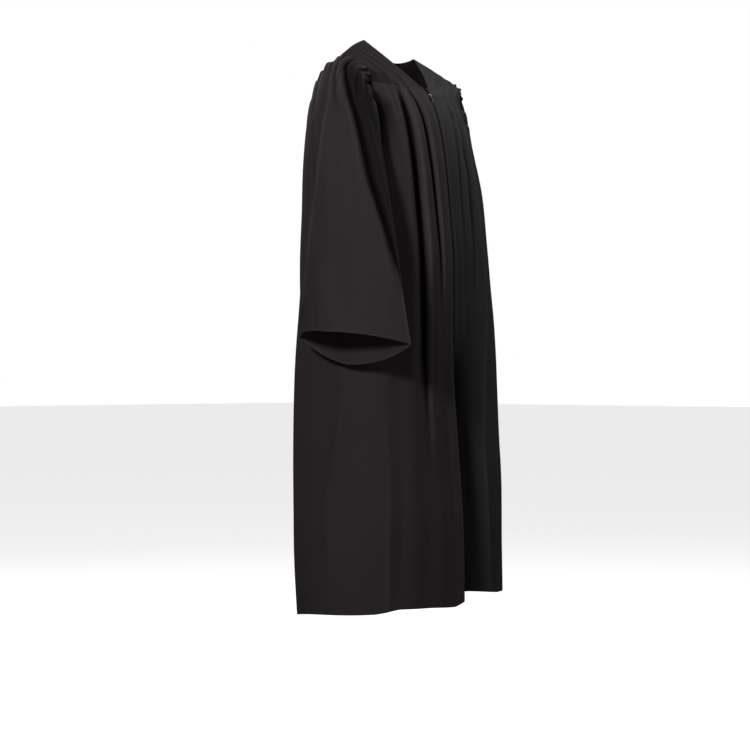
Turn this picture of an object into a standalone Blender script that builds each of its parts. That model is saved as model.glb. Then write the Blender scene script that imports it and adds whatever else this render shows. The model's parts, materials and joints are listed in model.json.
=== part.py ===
"""Graduation gown, worn, as hollow cloth walls: two front yokes, a back yoke, two pleated fronts, a gathered
back and two bell sleeves, with the front zip, its slider and its pull tab.
Metres, +Z up, the front faces -Y, the wearer's right is -X.
The origin is midway between the two neck-side shoulder points, where the gown hangs."""
import math

import bmesh
import bpy
import numpy as np

# ---------------------------------------------------------------- driving sizes (m)
WALL = 0.0016            # cloth wall
GAP = 0.0004             # clear gap at a sewn seam
YOKE_GAP = 0.0008        # panels start this far below the yokes
SHOULDER_GAP = 0.0010    # each yoke's distance from the shoulder line
SLEEVE_OPEN = 0.018      # least gap between its outer and inner sides
SLEEVE_CLEAR = 0.009     # sleeve's middle from the body's middle
SEAM = 0.0019            # sleeve head's start beyond the armhole line
YOKE_FRONT_Z = -0.100    # lower seam of the front yokes
YOKE_BACK_Z = -0.140     # lower seam of the back yoke
UNDERARM_Z = -0.300      # bottom of the armhole
ZIP_END_Z = -0.620       # lower end of the zip
HEM_MEAN = -1.120        # mean height of the hem
NOTCH_HALF = 0.0036      # half width of the slot at the top of the closing, where the slider sits
NOTCH_END_Z = -0.123     # where the front edges meet below it
EDGE = 0.0004            # front edge's distance from the centre line
TILT = 0.080             # right shoulder carried higher than the left
STAND_OUT = 0.005        # right front edge stands forward below the zip
SET_BACK = 0.030         # left front edge behind the right one below the zip
TAPE_W = 0.0115          # zip tape
TAPE_T = 0.0006
CHAIN_W = 0.0044         # zip chain
CHAIN_T = 0.0013
SLIDER_Z = -0.1085       # middle of the slider
SLIDER_W = 0.0054
SLIDER_L = 0.0090
PULL_W = 0.0046
PULL_L = 0.0150
PULL_T = 0.0009

# sections of the gown's body: height, half width, depth in front, depth behind, squareness
BODY = {
    "z":      [-1.180, -1.000, -0.800, -0.650, -0.470, -0.310, -0.215, -0.175, -0.135, -0.100],
    "half_w": [0.240, 0.232, 0.212, 0.200, 0.182, 0.177, 0.170, 0.167, 0.166, 0.168],
    "front":  [0.176, 0.173, 0.158, 0.150, 0.150, 0.136, 0.122, 0.113, 0.099, 0.080],
    "back":   [0.150, 0.170, 0.176, 0.173, 0.166, 0.160, 0.152, 0.146, 0.136, 0.122],
    "square": [2.20, 2.30, 2.60, 2.90, 3.00, 2.90, 2.60, 2.40, 2.30, 2.30],
}
# hem: direction in degrees (0 front, -90 right side, 180 back) and height
HEM_RIGHT = {"deg": [-180, -135, -90, -60, -45, -30, -10, 0], "z": [-1.155, -1.155, -1.140, -1.136, -1.127, -1.127, -1.129, -1.119]}
HEM_LEFT = {"deg": [0, 10, 45, 70, 90, 135, 180], "z": [-1.106, -1.104, -1.113, -1.116, -1.122, -1.142, -1.155]}
# armhole: height and distance in front of or behind its lowest point, at its front and back edge
ARM_FRONT = {"z": [-0.300, -0.297, -0.290, -0.275, -0.250, -0.215, -0.175, -0.135, -0.100],
             "y": [0.000, 0.018, 0.034, 0.050, 0.064, 0.072, 0.070, 0.0625, 0.0536]}
ARM_BACK = {"z": [-0.300, -0.297, -0.290, -0.270, -0.240, -0.205, -0.170, -0.140],
            "y": [0.000, 0.021, 0.040, 0.062, 0.078, 0.084, 0.082, 0.0777]}
YOKE_FRONT_W = 0.135     # half width of the yokes at their lower seams
YOKE_BACK_W = 0.145

# folds of the body: side (-1 right, 1 left), front or back, then at each FOLD_Z the distance from the centre line
# and the height in mm (minus is a valley), and the widths in mm towards the centre and away from it
FOLD_Z = [-0.100, -0.170, -0.300, -0.500, -0.800, -1.150]
FOLDS = [
    # side back   x0     x1     x2     x3     x4     x5       h0   h1   h2   h3   h4   h5     w_in w_out
    (-1, 0, (0.083, 0.074, 0.073, 0.074, 0.074, 0.074), (0, -10, -12, -9, -2, 0), 8, 14),
    (-1, 0, (0.060, 0.036, 0.033, 0.032, 0.032, 0.032), (0, -6, -6, -2, 0, 0), 6, 11),
    (-1, 0, (0.112, 0.110, 0.110, 0.112, 0.115, 0.120), (0, 4, 6, 6, 3, 1), 14, 18),
    (-1, 0, (0.070, 0.056, 0.053, 0.052, 0.050, 0.050), (0, 3, 4, 3, 1, 0), 9, 9),
    (-1, 0, (0.160, 0.160, 0.160, 0.160, 0.170, 0.172), (0, 0, 0, 0, 5, 6), 24, 24),
    (1, 0, (0.085, 0.083, 0.080, 0.077, 0.074, 0.070), (0, -6, -7, -5, -4, -2), 9, 13),
    (1, 0, (0.055, 0.048, 0.040, 0.036, 0.034, 0.034), (0, -4, -4, -2, 0, 0), 7, 11),
    (1, 0, (0.112, 0.112, 0.112, 0.110, 0.088, 0.094), (0, 3, 5, 6, 7, 6), 12, 15),
    (-1, 1, (0.118, 0.122, 0.130, 0.136, 0.150, 0.158), (0, 6, 7, 6, 7, 9), 16, 18),
    (-1, 1, (0.088, 0.090, 0.096, 0.102, 0.112, 0.120), (0, -6, -8, -6, -8, -11), 13, 13),
    (-1, 1, (0.055, 0.056, 0.060, 0.066, 0.074, 0.080), (0, 5, 6, 5, 7, 10), 15, 15),
    (-1, 1, (0.024, 0.024, 0.026, 0.030, 0.034, 0.038), (0, -5, -6, -5, -6, -10), 13, 13),
    (1, 1, (0.120, 0.122, 0.130, 0.138, 0.152, 0.162), (0, 5, 7, 6, 8, 9), 16, 18),
    (1, 1, (0.092, 0.094, 0.100, 0.108, 0.120, 0.128), (0, -6, -7, -6, -7, -10), 13, 13),
    (1, 1, (0.062, 0.064, 0.068, 0.074, 0.084, 0.092), (0, 5, 7, 6, 7, 10), 15, 15),
    (1, 1, (0.030, 0.031, 0.034, 0.038, 0.044, 0.050), (0, -5, -6, -4, -5, -9), 13, 13),
]

# rings of the sleeves, from the cap down. Each ring's outer, front, inner and rear points as x (outwards), y, z,
# and how sharp its front and rear edges are
SLEEVE_RIGHT = [
    ((0.1980, 0.004, -0.062), (0.1580, -0.092, -0.175), (0.1900, 0.004, -0.318), (0.1640, 0.106, -0.185), 0.0),
    ((0.2240, 0.006, -0.125), (0.1690, -0.112, -0.235), (0.1920, -0.002, -0.355), (0.1820, 0.090, -0.245), 0.1),
    ((0.2380, 0.000, -0.215), (0.1780, -0.136, -0.305), (0.1940, -0.012, -0.402), (0.1980, 0.078, -0.312), 0.2),
    ((0.2500, -0.012, -0.325), (0.1870, -0.162, -0.388), (0.1980, -0.026, -0.462), (0.2080, 0.070, -0.395), 0.35),
    ((0.2620, -0.030, -0.440), (0.1930, -0.186, -0.476), (0.2040, -0.044, -0.532), (0.2180, 0.062, -0.480), 0.5),
    ((0.2730, -0.052, -0.530), (0.1940, -0.201, -0.556), (0.2110, -0.060, -0.600), (0.2300, 0.051, -0.552), 0.6),
    ((0.2800, -0.070, -0.586), (0.1900, -0.210, -0.612), (0.2150, -0.072, -0.650), (0.2400, 0.042, -0.597), 0.65),
]
SLEEVE_LEFT = [
    ((0.1860, 0.020, -0.070), (0.1620, -0.071, -0.172), (0.1900, 0.006, -0.318), (0.1640, 0.112, -0.185), 0.2),
    ((0.2050, 0.034, -0.132), (0.1780, -0.070, -0.240), (0.1920, 0.010, -0.355), (0.1820, 0.120, -0.245), 0.3),
    ((0.2230, 0.048, -0.215), (0.1940, -0.060, -0.315), (0.1940, 0.024, -0.405), (0.1960, 0.138, -0.312), 0.35),
    ((0.2400, 0.060, -0.325), (0.2034, -0.0478, -0.392), (0.1980, 0.044, -0.465), (0.2080, 0.156, -0.395), 0.4),
    ((0.2550, 0.074, -0.440), (0.2108, -0.0396, -0.480), (0.2040, 0.066, -0.534), (0.2180, 0.176, -0.482), 0.5),
    ((0.2670, 0.086, -0.530), (0.2174, -0.0358, -0.556), (0.2120, 0.088, -0.600), (0.2270, 0.196, -0.556), 0.6),
    ((0.2760, 0.094, -0.590), (0.2220, -0.034, -0.612), (0.2180, 0.102, -0.650), (0.2330, 0.210, -0.606), 0.65),
]
# folds of the sleeves: direction in degrees round the sleeve (0 outer, 90 front, 180 inner, 270 rear) at the head,
# at a third, at two thirds and at the hem, the height in mm at each, and the width in mm
SLEEVE_FOLDS = [
    ((22, 62, 86, 90), (-4, -8, -4, 0), 13),
    ((40, 90, 102, 104), (2, 5, 3, 0), 15),
    ((0, 20, 30, 36), (4, 5, 3, 2), 26),
    ((330, 322, 300, 282), (2, 4, 4, 3), 16),
    ((310, 300, 284, 276), (-2, -4, -4, -2), 13),
]

# yoke: neck side and end of the shoulder, back neck, and how the yoke's front edge along the armhole runs
SHOULDER_NECK = (0.0720, 0.030, 0.004)
SHOULDER_END = (0.1650, 0.000, -0.048)
BACK_NECK = (0.0, 0.072, -0.012)
YOKE_ARM_FRONT = [(0.1650, 0.000, -0.048), (0.1570, -0.022, -0.054), (0.1480, -0.041, -0.066), (0.1400, -0.053, -0.080)]
YOKE_ARM_BACK = [(0.1650, 0.000, -0.048), (0.1610, 0.034, -0.060), (0.1530, 0.064, -0.085), (0.1470, 0.082, -0.112)]

# rows and columns of the meshes
ROWS_ARM_FRONT = [YOKE_FRONT_Z - YOKE_GAP, -0.1120, -0.1240, -0.1500, -0.1800, -0.2150, -0.2500, -0.2750, -0.2900, UNDERARM_Z]
ROWS_ARM_BACK = [YOKE_BACK_Z - YOKE_GAP, -0.1700, -0.2050, -0.2400, -0.2700, -0.2900, UNDERARM_Z]
ZIP_ROWS = 5             # rows below the underarm that the zip spans
ROWS_SKIRT = [0.07, 0.16, 0.26, 0.37, 0.39, 0.50, 0.63, 0.76, 0.89, 1.0]   # share of the way from underarm to hem
YOKE_ROWS = 6


# ---------------------------------------------------------------- curves and sections
def smooth_table(xs, ys, x):
    """Monotone cubic through a table, held at its ends."""
    xs, ys, x = np.asarray(xs, float), np.asarray(ys, float), np.asarray(x, float)
    h = np.diff(xs)
    d = np.diff(ys) / h
    m = np.zeros_like(ys)
    m[0], m[-1] = d[0], d[-1]
    for k in range(1, len(xs) - 1):
        if d[k - 1] * d[k] > 0:
            w1, w2 = 2 * h[k] + h[k - 1], h[k] + 2 * h[k - 1]
            m[k] = (w1 + w2) / (w1 / d[k - 1] + w2 / d[k])
    xc = np.clip(x, xs[0], xs[-1])
    i = np.clip(np.searchsorted(xs, xc) - 1, 0, len(h) - 1)
    t = (xc - xs[i]) / h[i]
    return ((1 + 2 * t) * (1 - t) ** 2 * ys[i] + t * (1 - t) ** 2 * h[i] * m[i]
            + t * t * (3 - 2 * t) * ys[i + 1] + t * t * (t - 1) * h[i] * m[i + 1])


def ramp(a, b, x):
    t = np.clip((np.asarray(x, float) - a) / (b - a), 0.0, 1.0)
    return t * t * (3 - 2 * t)


def section(z):
    return tuple(smooth_table(BODY["z"], BODY[k], z) for k in ("half_w", "front", "back", "square"))


def phi_of_x(x, z, back):
    """Direction round the body of the point x from the centre line, on its front or back."""
    a, f, b, n = section(z)
    x = np.minimum(np.asarray(x, float), a)
    y = np.where(back, b, f) * np.maximum(1 - (x / a) ** n, 0) ** (1 / n)
    return np.where(back, math.pi - np.arctan2(x, y), np.arctan2(x, y))


def fold_height(phi, z):
    """Height of the folds over the plain section, at direction phi (minus on the right) and height z."""
    a, f, b, n = section(z)
    total = np.zeros(np.broadcast(phi, z).shape)
    side = np.where(phi < 0, -1, 1)
    back = np.abs(phi) > math.pi / 2
    reach = np.abs(phi) * 0 + np.where(back, (a + b) / 2, (a + f) / 2)
    order = FOLD_Z[::-1]
    for s, bk, xs, hs, w_in, w_out in FOLDS:
        centre = phi_of_x(smooth_table(order, xs[::-1], z), z, bool(bk))
        d = (np.abs(phi) - centre) * reach * (-1 if bk else 1)
        w = np.where(d < 0, w_in, w_out) * 0.001
        h = smooth_table(order, hs[::-1], z) * 0.001
        total += np.where(side == s, h * np.exp(-(d / w) ** 2), 0)
    return total


def body(phi, z):
    """Middle of the cloth, at direction phi and height z."""
    phi, z = np.broadcast_arrays(np.asarray(phi, float), np.asarray(z, float))
    a, f, b, n = section(z)
    s, c = np.sin(phi), np.cos(phi)
    depth = np.where(c > 0, f, b)
    r = ((np.abs(s) / a) ** n + (np.abs(c) / depth) ** n) ** (-1 / n)
    x, y = r * s, -r * c
    nx = np.sign(x) * (np.abs(x) / a) ** (n - 1) / a
    ny = np.sign(y) * (np.abs(y) / depth) ** (n - 1) / depth
    q = np.hypot(nx, ny)
    h = fold_height(phi, z)
    # the left front edge hangs behind the right one below the zip
    free = ramp(ZIP_END_Z, -0.86, z)
    h = h - SET_BACK * free * np.where(phi >= 0, 1, 0) * ramp(0.55, 0.0, np.abs(phi))
    h = h + STAND_OUT * free * np.where(phi < 0, 1, 0) * ramp(0.30, 0.0, np.abs(phi))
    return np.stack([x + h * nx / q, y + h * ny / q, z], -1)


def skirt_z(share, phi):
    """Height of a row of the skirt: level down to the end of the zip, then easing into the hem's own line."""
    z = UNDERARM_Z + share * (HEM_MEAN - UNDERARM_Z)
    return z + (hem_z(phi) - HEM_MEAN) * np.clip((share - 0.40) / 0.60, 0.0, 1.0)


def hem_z(phi):
    deg = np.degrees(phi)
    return np.where(np.asarray(phi) < 0, smooth_table(HEM_RIGHT["deg"], HEM_RIGHT["z"], deg),
                    smooth_table(HEM_LEFT["deg"], HEM_LEFT["z"], deg))


def arm_phi(z, back):
    """Direction of the armhole's edge at height z."""
    table = ARM_BACK if back else ARM_FRONT
    y = smooth_table(table["z"], table["y"], z)
    a, f, b, n = section(z)
    x = a * np.maximum(1 - (y / (b if back else f)) ** n, 0) ** (1 / n)
    return math.pi - np.arctan2(x, y) if back else np.arctan2(x, y)


def pose(p):
    """The right shoulder is carried higher than the left."""
    p = np.array(p, float)
    p[..., 2] -= TILT * p[..., 0] * ramp(-0.45, -0.05, p[..., 2])
    return p


def curve(points, t):
    """Smooth curve through a few points, t 0 to 1 by chord length."""
    pts = np.asarray(points, float)
    s = np.concatenate([[0], np.cumsum(np.linalg.norm(np.diff(pts, axis=0), axis=1))])
    return np.stack([smooth_table(s / s[-1], pts[:, k], t) for k in range(3)], -1)


def normals(p, cyclic=False):
    """Unit normals of a grid of points, rows first."""
    dr = np.gradient(p, axis=0)
    if cyclic:
        dc = (np.roll(p, -1, axis=1) - np.roll(p, 1, axis=1)) / 2
    else:
        dc = np.gradient(p, axis=1)
    n = np.cross(dc, dr)
    return n / np.maximum(np.linalg.norm(n, axis=-1, keepdims=True), 1e-12)


def even(n, cyclic=False):
    """Normals averaged with their neighbours, so that a wall stays whole in a tight fold."""
    m = n.copy()
    if cyclic:
        m += 0.5 * (np.roll(n, 1, axis=1) + np.roll(n, -1, axis=1))
    else:
        m[:, 1:-1] += 0.5 * (n[:, :-2] + n[:, 2:])
    k = m.copy()
    k[1:-1] += 0.5 * (m[:-2] + m[2:])
    return k / np.linalg.norm(k, axis=-1, keepdims=True)


# ---------------------------------------------------------------- meshes
def cloth_material(name, rgb, roughness, metallic=0.0):
    mat = bpy.data.materials.new(name)
    mat.use_nodes = True
    shader = mat.node_tree.nodes["Principled BSDF"]
    shader.inputs["Base Color"].default_value = (rgb[0], rgb[1], rgb[2], 1.0)
    shader.inputs["Roughness"].default_value = roughness
    shader.inputs["Metallic"].default_value = metallic
    return mat


def add_object(name, verts, faces, mat, smooth=True):
    mesh = bpy.data.meshes.new(name)
    mesh.from_pydata([tuple(v) for v in verts], [], faces)
    bm = bmesh.new()
    bm.from_mesh(mesh)
    bmesh.ops.triangulate(bm, faces=bm.faces[:])
    if bm.calc_volume(signed=True) < 0:
        bmesh.ops.reverse_faces(bm, faces=bm.faces[:])
    bm.to_mesh(mesh)
    bm.free()
    for poly in mesh.polygons:
        poly.use_smooth = smooth
    ob = bpy.data.objects.new(name, mesh)
    ob.data.materials.append(mat)
    bpy.context.scene.collection.objects.link(ob)
    return ob


def add_wall(name, mid, normal, wall, mat, cyclic=False):
    """Closed wall of even thickness on both sides of a grid of points."""
    rows, cols = mid.shape[:2]
    outer = pose(mid + normal * wall / 2).reshape(-1, 3)
    inner = pose(mid - normal * wall / 2).reshape(-1, 3)
    verts = np.concatenate([outer, inner])
    off = rows * cols
    faces = []
    span = cols if cyclic else cols - 1
    for i in range(rows - 1):
        for j in range(span):
            k = (j + 1) % cols
            a, b, c, d = i * cols + j, i * cols + k, (i + 1) * cols + k, (i + 1) * cols + j
            faces += [(a, b, d), (b, c, d), (off + a, off + d, off + b), (off + b, off + d, off + c)]
    for j in range(span):
        k = (j + 1) % cols
        for i, flip in ((0, False), (rows - 1, True)):
            a, b = i * cols + j, i * cols + k
            quad = (a, off + a, off + b, b)
            faces.append(quad[::-1] if flip else quad)
    if not cyclic:
        for i in range(rows - 1):
            for j, flip in ((0, True), (cols - 1, False)):
                a, b = i * cols + j, (i + 1) * cols + j
                quad = (a, off + a, off + b, b)
                faces.append(quad[::-1] if flip else quad)
    return add_object(name, verts, faces, mat)


# ---------------------------------------------------------------- body panels
def edge_x(z):
    """Front edge's distance from the centre line: the slot for the slider, then meeting."""
    return EDGE + (NOTCH_HALF - EDGE) * ramp(NOTCH_END_Z, -0.112, z)


def front_grid(side):
    """Middle points of a front, columns from the centre line to the side."""
    rows = [("arm", z) for z in ROWS_ARM_FRONT] + [("skirt", t) for t in ROWS_SKIRT]
    fold2 = next(f for f in FOLDS if f[0] == side and not f[1] and f[4] in (6, 7))
    fold1 = next(f for f in FOLDS if f[0] == side and not f[1] and f[4] in (8, 9))
    grid, order = [], FOLD_Z[::-1]
    for kind, v in rows:
        z0 = v if kind == "arm" else UNDERARM_Z + v * (HEM_MEAN - UNDERARM_Z)
        x2 = float(smooth_table(order, fold2[2][::-1], z0))
        x1 = float(smooth_table(order, fold1[2][::-1], z0))
        end = float(arm_phi(z0, False)) if kind == "arm" else math.pi / 2
        a = float(section(z0)[0])
        ex = float(edge_x(z0))
        marks = [float(phi_of_x(x, z0, False)) for x in (ex, x2, (x1 + x2) / 2, x1, x1 + 0.030)] + [end]
        marks[-1] = end - GAP / 2 / a
        counts = (3, 2, 2, 2, 8)
        phi = [marks[0]]
        for k, c in enumerate(counts):
            phi += [marks[k] + (marks[k + 1] - marks[k]) * (i + 1) / c for i in range(c)]
        phi = side * np.array(phi)
        if kind == "arm":
            z = np.full_like(phi, v)
        else:
            z = skirt_z(v, phi)
        grid.append(body(phi, z))
    return np.array(grid)


def back_grid():
    cols = 26
    grid = []
    rows = [("arm", z) for z in ROWS_ARM_BACK] + [("skirt", t) for t in ROWS_SKIRT]
    for kind, v in rows:
        z0 = v if kind == "arm" else UNDERARM_Z + v * (HEM_MEAN - UNDERARM_Z)
        end = float(arm_phi(z0, True)) if kind == "arm" else math.pi / 2
        end += GAP / 2 / float(section(z0)[0])
        t = np.linspace(-1, 1, cols + 1)
        phi = math.pi + t * (math.pi - end)          # right armhole round the back to the left one
        phi = np.where(phi > math.pi, phi - 2 * math.pi, phi)
        if kind == "arm":
            z = np.full_like(phi, v)
        else:
            z = skirt_z(v, phi)
        grid.append(body(phi, z))
    return np.array(grid)


# ---------------------------------------------------------------- yokes
def patch(top, bottom, left, right):
    """Surface spanned by four edge curves; top and bottom have the same count, and left and right."""
    top, bottom, left, right = (np.asarray(e, float) for e in (top, bottom, left, right))
    r, c = len(left), len(top)
    u = np.linspace(0, 1, c)[None, :, None]
    s = np.concatenate([[0], np.cumsum(np.linalg.norm(np.diff(right, axis=0), axis=1))])
    v = (s / s[-1])[:, None, None]
    ruled_v = (1 - v) * top[None] + v * bottom[None]
    ruled_u = (1 - u) * left[:, None] + u * right[:, None]
    corners = ((1 - u) * (1 - v) * top[0] + u * (1 - v) * top[-1] + (1 - u) * v * bottom[0] + u * v * bottom[-1])
    return ruled_v + ruled_u - corners


def sided(points, side):
    p = np.array(points, float)
    p[..., 0] *= side
    return p


def front_yoke_grid():
    """Left front yoke: columns from the neckline to the armhole, rows from the shoulder to the lower seam."""
    cols = 9
    t = np.linspace(0, 1, YOKE_ROWS + 1)
    z = YOKE_FRONT_Z
    x0, x1 = NOTCH_HALF, YOKE_FRONT_W
    bottom = np.array([body(float(phi_of_x(x, z, False)), z) for x in np.linspace(x0, x1, cols)])
    right = curve(YOKE_ARM_FRONT + [tuple(bottom[-1])], t)
    neck = np.array(SHOULDER_NECK)
    left = neck + (bottom[0] - neck) * t[:, None]
    left[:, 1] -= 0.004 * np.sin(math.pi * t)
    left[:, 0] += 0.002 * np.sin(math.pi * t)
    s = np.linspace(0, 1, cols)
    top = neck + (np.array(SHOULDER_END) - neck) * s[:, None]
    top[:, 2] += 0.005 * np.sin(math.pi * s)
    grid = patch(top, bottom, left, right)
    return grid


def back_yoke_grid():
    """Back yoke: columns from the right armhole to the left one, rows from the shoulders to the lower seam."""
    nape_cols, seam_cols = 4, 8
    half = nape_cols + seam_cols
    t = np.linspace(0, 1, YOKE_ROWS)
    z = YOKE_BACK_Z
    x1 = YOKE_BACK_W
    xs = np.linspace(-x1, x1, 2 * half + 1)
    bottom = np.array([body(math.copysign(float(phi_of_x(abs(x), z, True)), x), z) for x in xs])
    right = curve(YOKE_ARM_BACK + [tuple(bottom[-1])], t)
    neck, end = np.array(SHOULDER_NECK), np.array(SHOULDER_END)
    s = np.linspace(0, 1, seam_cols + 1)
    seam = neck + (end - neck) * s[:, None]
    seam[:, 2] += 0.005 * np.sin(math.pi * s)
    q = np.linspace(0, 1, nape_cols + 1) * math.pi / 2
    nape = np.stack([neck[0] * np.sin(q), neck[1] + (BACK_NECK[1] - neck[1]) * np.cos(q),
                     neck[2] + (BACK_NECK[2] - neck[2]) * np.cos(q)], -1)
    half_top = np.concatenate([nape, seam[1:]])
    top = np.concatenate([sided(half_top[1:], -1)[::-1], half_top])
    return patch(top, bottom, sided(right, -1), right)


def trim(grid, top=0.0, bottom=0.0, first=0.0, last=0.0):
    """Pull the edges of a grid in by some metres."""
    g = grid.copy()
    def pull(edge, near, d):
        v = near - edge
        return edge + v / np.linalg.norm(v, axis=-1, keepdims=True) * d
    if top:
        g[0] = pull(g[0], g[1], top)
    if bottom:
        g[-1] = pull(g[-1], g[-2], bottom)
    if first:
        g[:, 0] = pull(g[:, 0], g[:, 1], first)
    if last:
        g[:, -1] = pull(g[:, -1], g[:, -2], last)
    return g


# ---------------------------------------------------------------- sleeves
def armhole():
    """Points round the left armhole from the end of the shoulder down the front, under the arm and up the back,
    with the direction that the cloth leaves the body there, and the share of the way round."""
    yoke = front_yoke_grid()
    front_pts = [yoke[i, -1] for i in range(YOKE_ROWS)]
    front_dir = [yoke[i, -1] - yoke[i, -2] for i in range(YOKE_ROWS)]
    for z in ROWS_ARM_FRONT:
        p = float(arm_phi(z, False))
        front_pts.append(body(p, z))
        front_dir.append(body(p, z) - body(p - 0.03, z))
    back = back_yoke_grid()
    back_pts = [back[i, -1] for i in range(1, YOKE_ROWS - 1)]
    back_dir = [back[i, -1] - back[i, -2] for i in range(1, YOKE_ROWS - 1)]
    for z in ROWS_ARM_BACK[:-1]:
        p = float(arm_phi(z, True))
        back_pts.append(body(p, z))
        back_dir.append(body(p, z) - body(p + 0.03, z))
    pts = np.array(front_pts + back_pts[::-1])
    dirs = np.array(front_dir + back_dir[::-1])
    dirs /= np.linalg.norm(dirs, axis=1, keepdims=True)
    low = ramp(-0.10, -0.20, pts[:, 2])[:, None]
    out = np.array([0.95, 0.0, -0.30]) + np.array([0.0, 0.25, 0.0]) * np.sign(pts[:, 1:2])
    dirs = dirs * (1 - low) + out * low
    dirs[len(front_pts) - 1] = (0.95, 0.0, -0.30)
    dirs /= np.linalg.norm(dirs, axis=1, keepdims=True)
    n = len(front_pts) - 1
    seg = np.linalg.norm(np.diff(np.vstack([pts, pts[:1]]), axis=0), axis=1)
    s = np.concatenate([[0], np.cumsum(seg)])
    share = np.where(np.arange(len(pts)) <= n, 0.5 * s[:-1] / s[n], 0.5 + 0.5 * (s[:-1] - s[n]) / (s[-1] - s[n]))
    return pts, dirs, share


def ring(row, theta):
    out, front, inner, rear, sharp = row
    c = (np.array(out) + np.array(inner)) / 2 * 0.5 + (np.array(front) + np.array(rear)) / 2 * 0.5
    cs, sn = np.cos(theta), np.sin(theta)
    sn = (1 - sharp) * sn + sharp * 2 / math.pi * np.arcsin(np.clip(sn, -1, 1))
    def w(v):
        return np.maximum(v, 0)[:, None]
    return (c + w(cs) * (np.array(out) - c) + w(-cs) * (np.array(inner) - c)
            + w(sn) * (np.array(front) - c) + w(-sn) * (np.array(rear) - c))


def spline_rows(rows, levels):
    """Rows in between by a curve through each column's points. levels are in rows, from 0."""
    rows = np.asarray(rows, float)
    n = len(rows)
    out = []
    for v in levels:
        i = min(int(v), n - 2)
        t = v - i
        p0, p1, p2, p3 = rows[max(i - 1, 0)], rows[i], rows[i + 1], rows[min(i + 2, n - 1)]
        m1 = (p2 - p0) / 2 if i > 0 else p2 - p1
        m2 = (p3 - p1) / 2 if i < n - 2 else p2 - p1
        out.append((2 * t ** 3 - 3 * t ** 2 + 1) * p1 + (t ** 3 - 2 * t ** 2 + t) * m1
                   + (3 * t ** 2 - 2 * t ** 3) * p2 + (t ** 3 - t ** 2) * m2)
    return np.array(out)


def keep_clear(grid, levels, side, theta):
    """Move the sleeve's points out to a small distance from the body and its folds, its outer wall farther out."""
    g = grid.copy()
    levels = np.asarray(levels, float)[:, None]
    r = np.hypot(g[..., 0], g[..., 1])
    phi = np.arctan2(g[..., 0], -g[..., 1])
    limit = np.hypot(*np.moveaxis(body(side * phi, g[..., 2])[..., :2], -1, 0))
    need = limit + ramp(0.9, 2.0, levels) * (SLEEVE_CLEAR + 0.005 * ramp(3.5, 2.0, levels)
                                             + SLEEVE_OPEN * np.maximum(np.cos(theta), 0)[None] ** 0.6)
    push = np.maximum(need - r, 0) * ramp(0.9, 1.6, levels) * ramp(-0.10, -0.16, g[..., 2])
    g[..., :2] *= (1 + push / r)[..., None]
    return g


def sleeve_grid(table, levels, side=-1):
    pts, dirs, share = armhole()
    theta = 2 * math.pi * share
    rows = [pts + dirs * SEAM, pts + dirs * 0.006]
    rows += [ring(r, theta) for r in table]
    levels = np.asarray(levels, float)
    grid = keep_clear(spline_rows(rows, levels), levels, side, theta)
    n = normals(grid, cyclic=True)
    mid = grid.mean(axis=1, keepdims=True)
    if ((grid - mid) * n).sum() < 0:
        n = -n
    down = ((levels - levels[0]) / (levels[-1] - levels[0]))[:, None]
    around = np.linalg.norm(np.roll(grid, -1, axis=1) - grid, axis=-1).sum(axis=1, keepdims=True)
    h = np.zeros(grid.shape[:2])
    for degs, hs, width in SLEEVE_FOLDS:
        centre = np.radians(smooth_table([0, 1 / 3, 2 / 3, 1], degs, down))
        d = (theta[None] - centre + math.pi) % (2 * math.pi) - math.pi
        h += smooth_table([0, 1 / 3, 2 / 3, 1], hs, down) * 0.001 * np.exp(-(d * around / (2 * math.pi) / (width * 0.001)) ** 2)
    h *= ramp(0.9, 2.2, levels)[:, None]
    return keep_clear(grid + n * h[..., None], levels, side, theta)


# ---------------------------------------------------------------- build
def outward(grid, cyclic=False):
    """Normals that face away from the gown's middle line, or from the middle of a sleeve."""
    n = normals(grid, cyclic)
    ref = grid.mean(axis=1, keepdims=True) if cyclic else np.array([0.0, 0.02, 0.0]) * np.ones_like(grid)
    ref = np.array(ref)
    if not cyclic:
        ref[..., 2] = grid[..., 2] - 0.05
    if ((grid - ref) * n).sum() < 0:
        n = -n
    return n


def strip(x_in, x_out, sides, depth):
    """Strip behind the front edges, on the same rows as the fronts."""
    rows = len(ROWS_ARM_FRONT) + ZIP_ROWS
    fronts = {side: front_grid(side)[1:rows] for side in (-1, 1)}
    base = {side: g - outward(g) * depth for side, g in fronts.items()}
    grid = []
    for i in range(rows - 1):
        row = []
        for x, side in zip(np.linspace(x_in, x_out, 3), sides):
            g = base[side][i]
            row.append([x] + [float(np.interp(abs(x), np.abs(g[:, 0]), g[:, k])) for k in (1, 2)])
        grid.append(row)
    grid = np.array(grid)
    return grid, outward(grid)


def metal_frame():
    """Directions of the small metal pieces: along the closing line, and out from the cloth, at the slider."""
    z0, z1 = SLIDER_Z + 0.006, SLIDER_Z - 0.010
    p0, p1 = pose(body(0.0, z0)), pose(body(0.0, z1))
    d = (p1 - p0) / np.linalg.norm(p1 - p0)
    n = np.array([0.0, d[2], -d[1]])
    if n[1] > 0:
        n = -n
    origin = pose(body(0.0, SLIDER_Z))
    return origin, d, n


def extrude(loop2d, hole2d, lo, hi, to_world):
    """Plate from an outline and, if given, a window with the same count of points."""
    verts, faces = [], []
    loops = [loop2d] + ([hole2d] if hole2d else [])
    k = len(loop2d)
    for level in (lo, hi):
        for loop in loops:
            verts += [to_world(p[0], p[1], level) for p in loop]
    m = len(loops) * k
    for i in range(k):
        j = (i + 1) % k
        faces.append((i, j, m + j, m + i))
        if hole2d:
            faces.append((k + j, k + i, m + k + i, m + k + j))
            faces.append((j, i, k + i, k + j))
            faces.append((m + i, m + j, m + k + j, m + k + i))
    if not hole2d:
        faces.append(tuple(range(k))[::-1])
        faces.append(tuple(range(m, m + k)))
    return verts, faces


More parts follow.
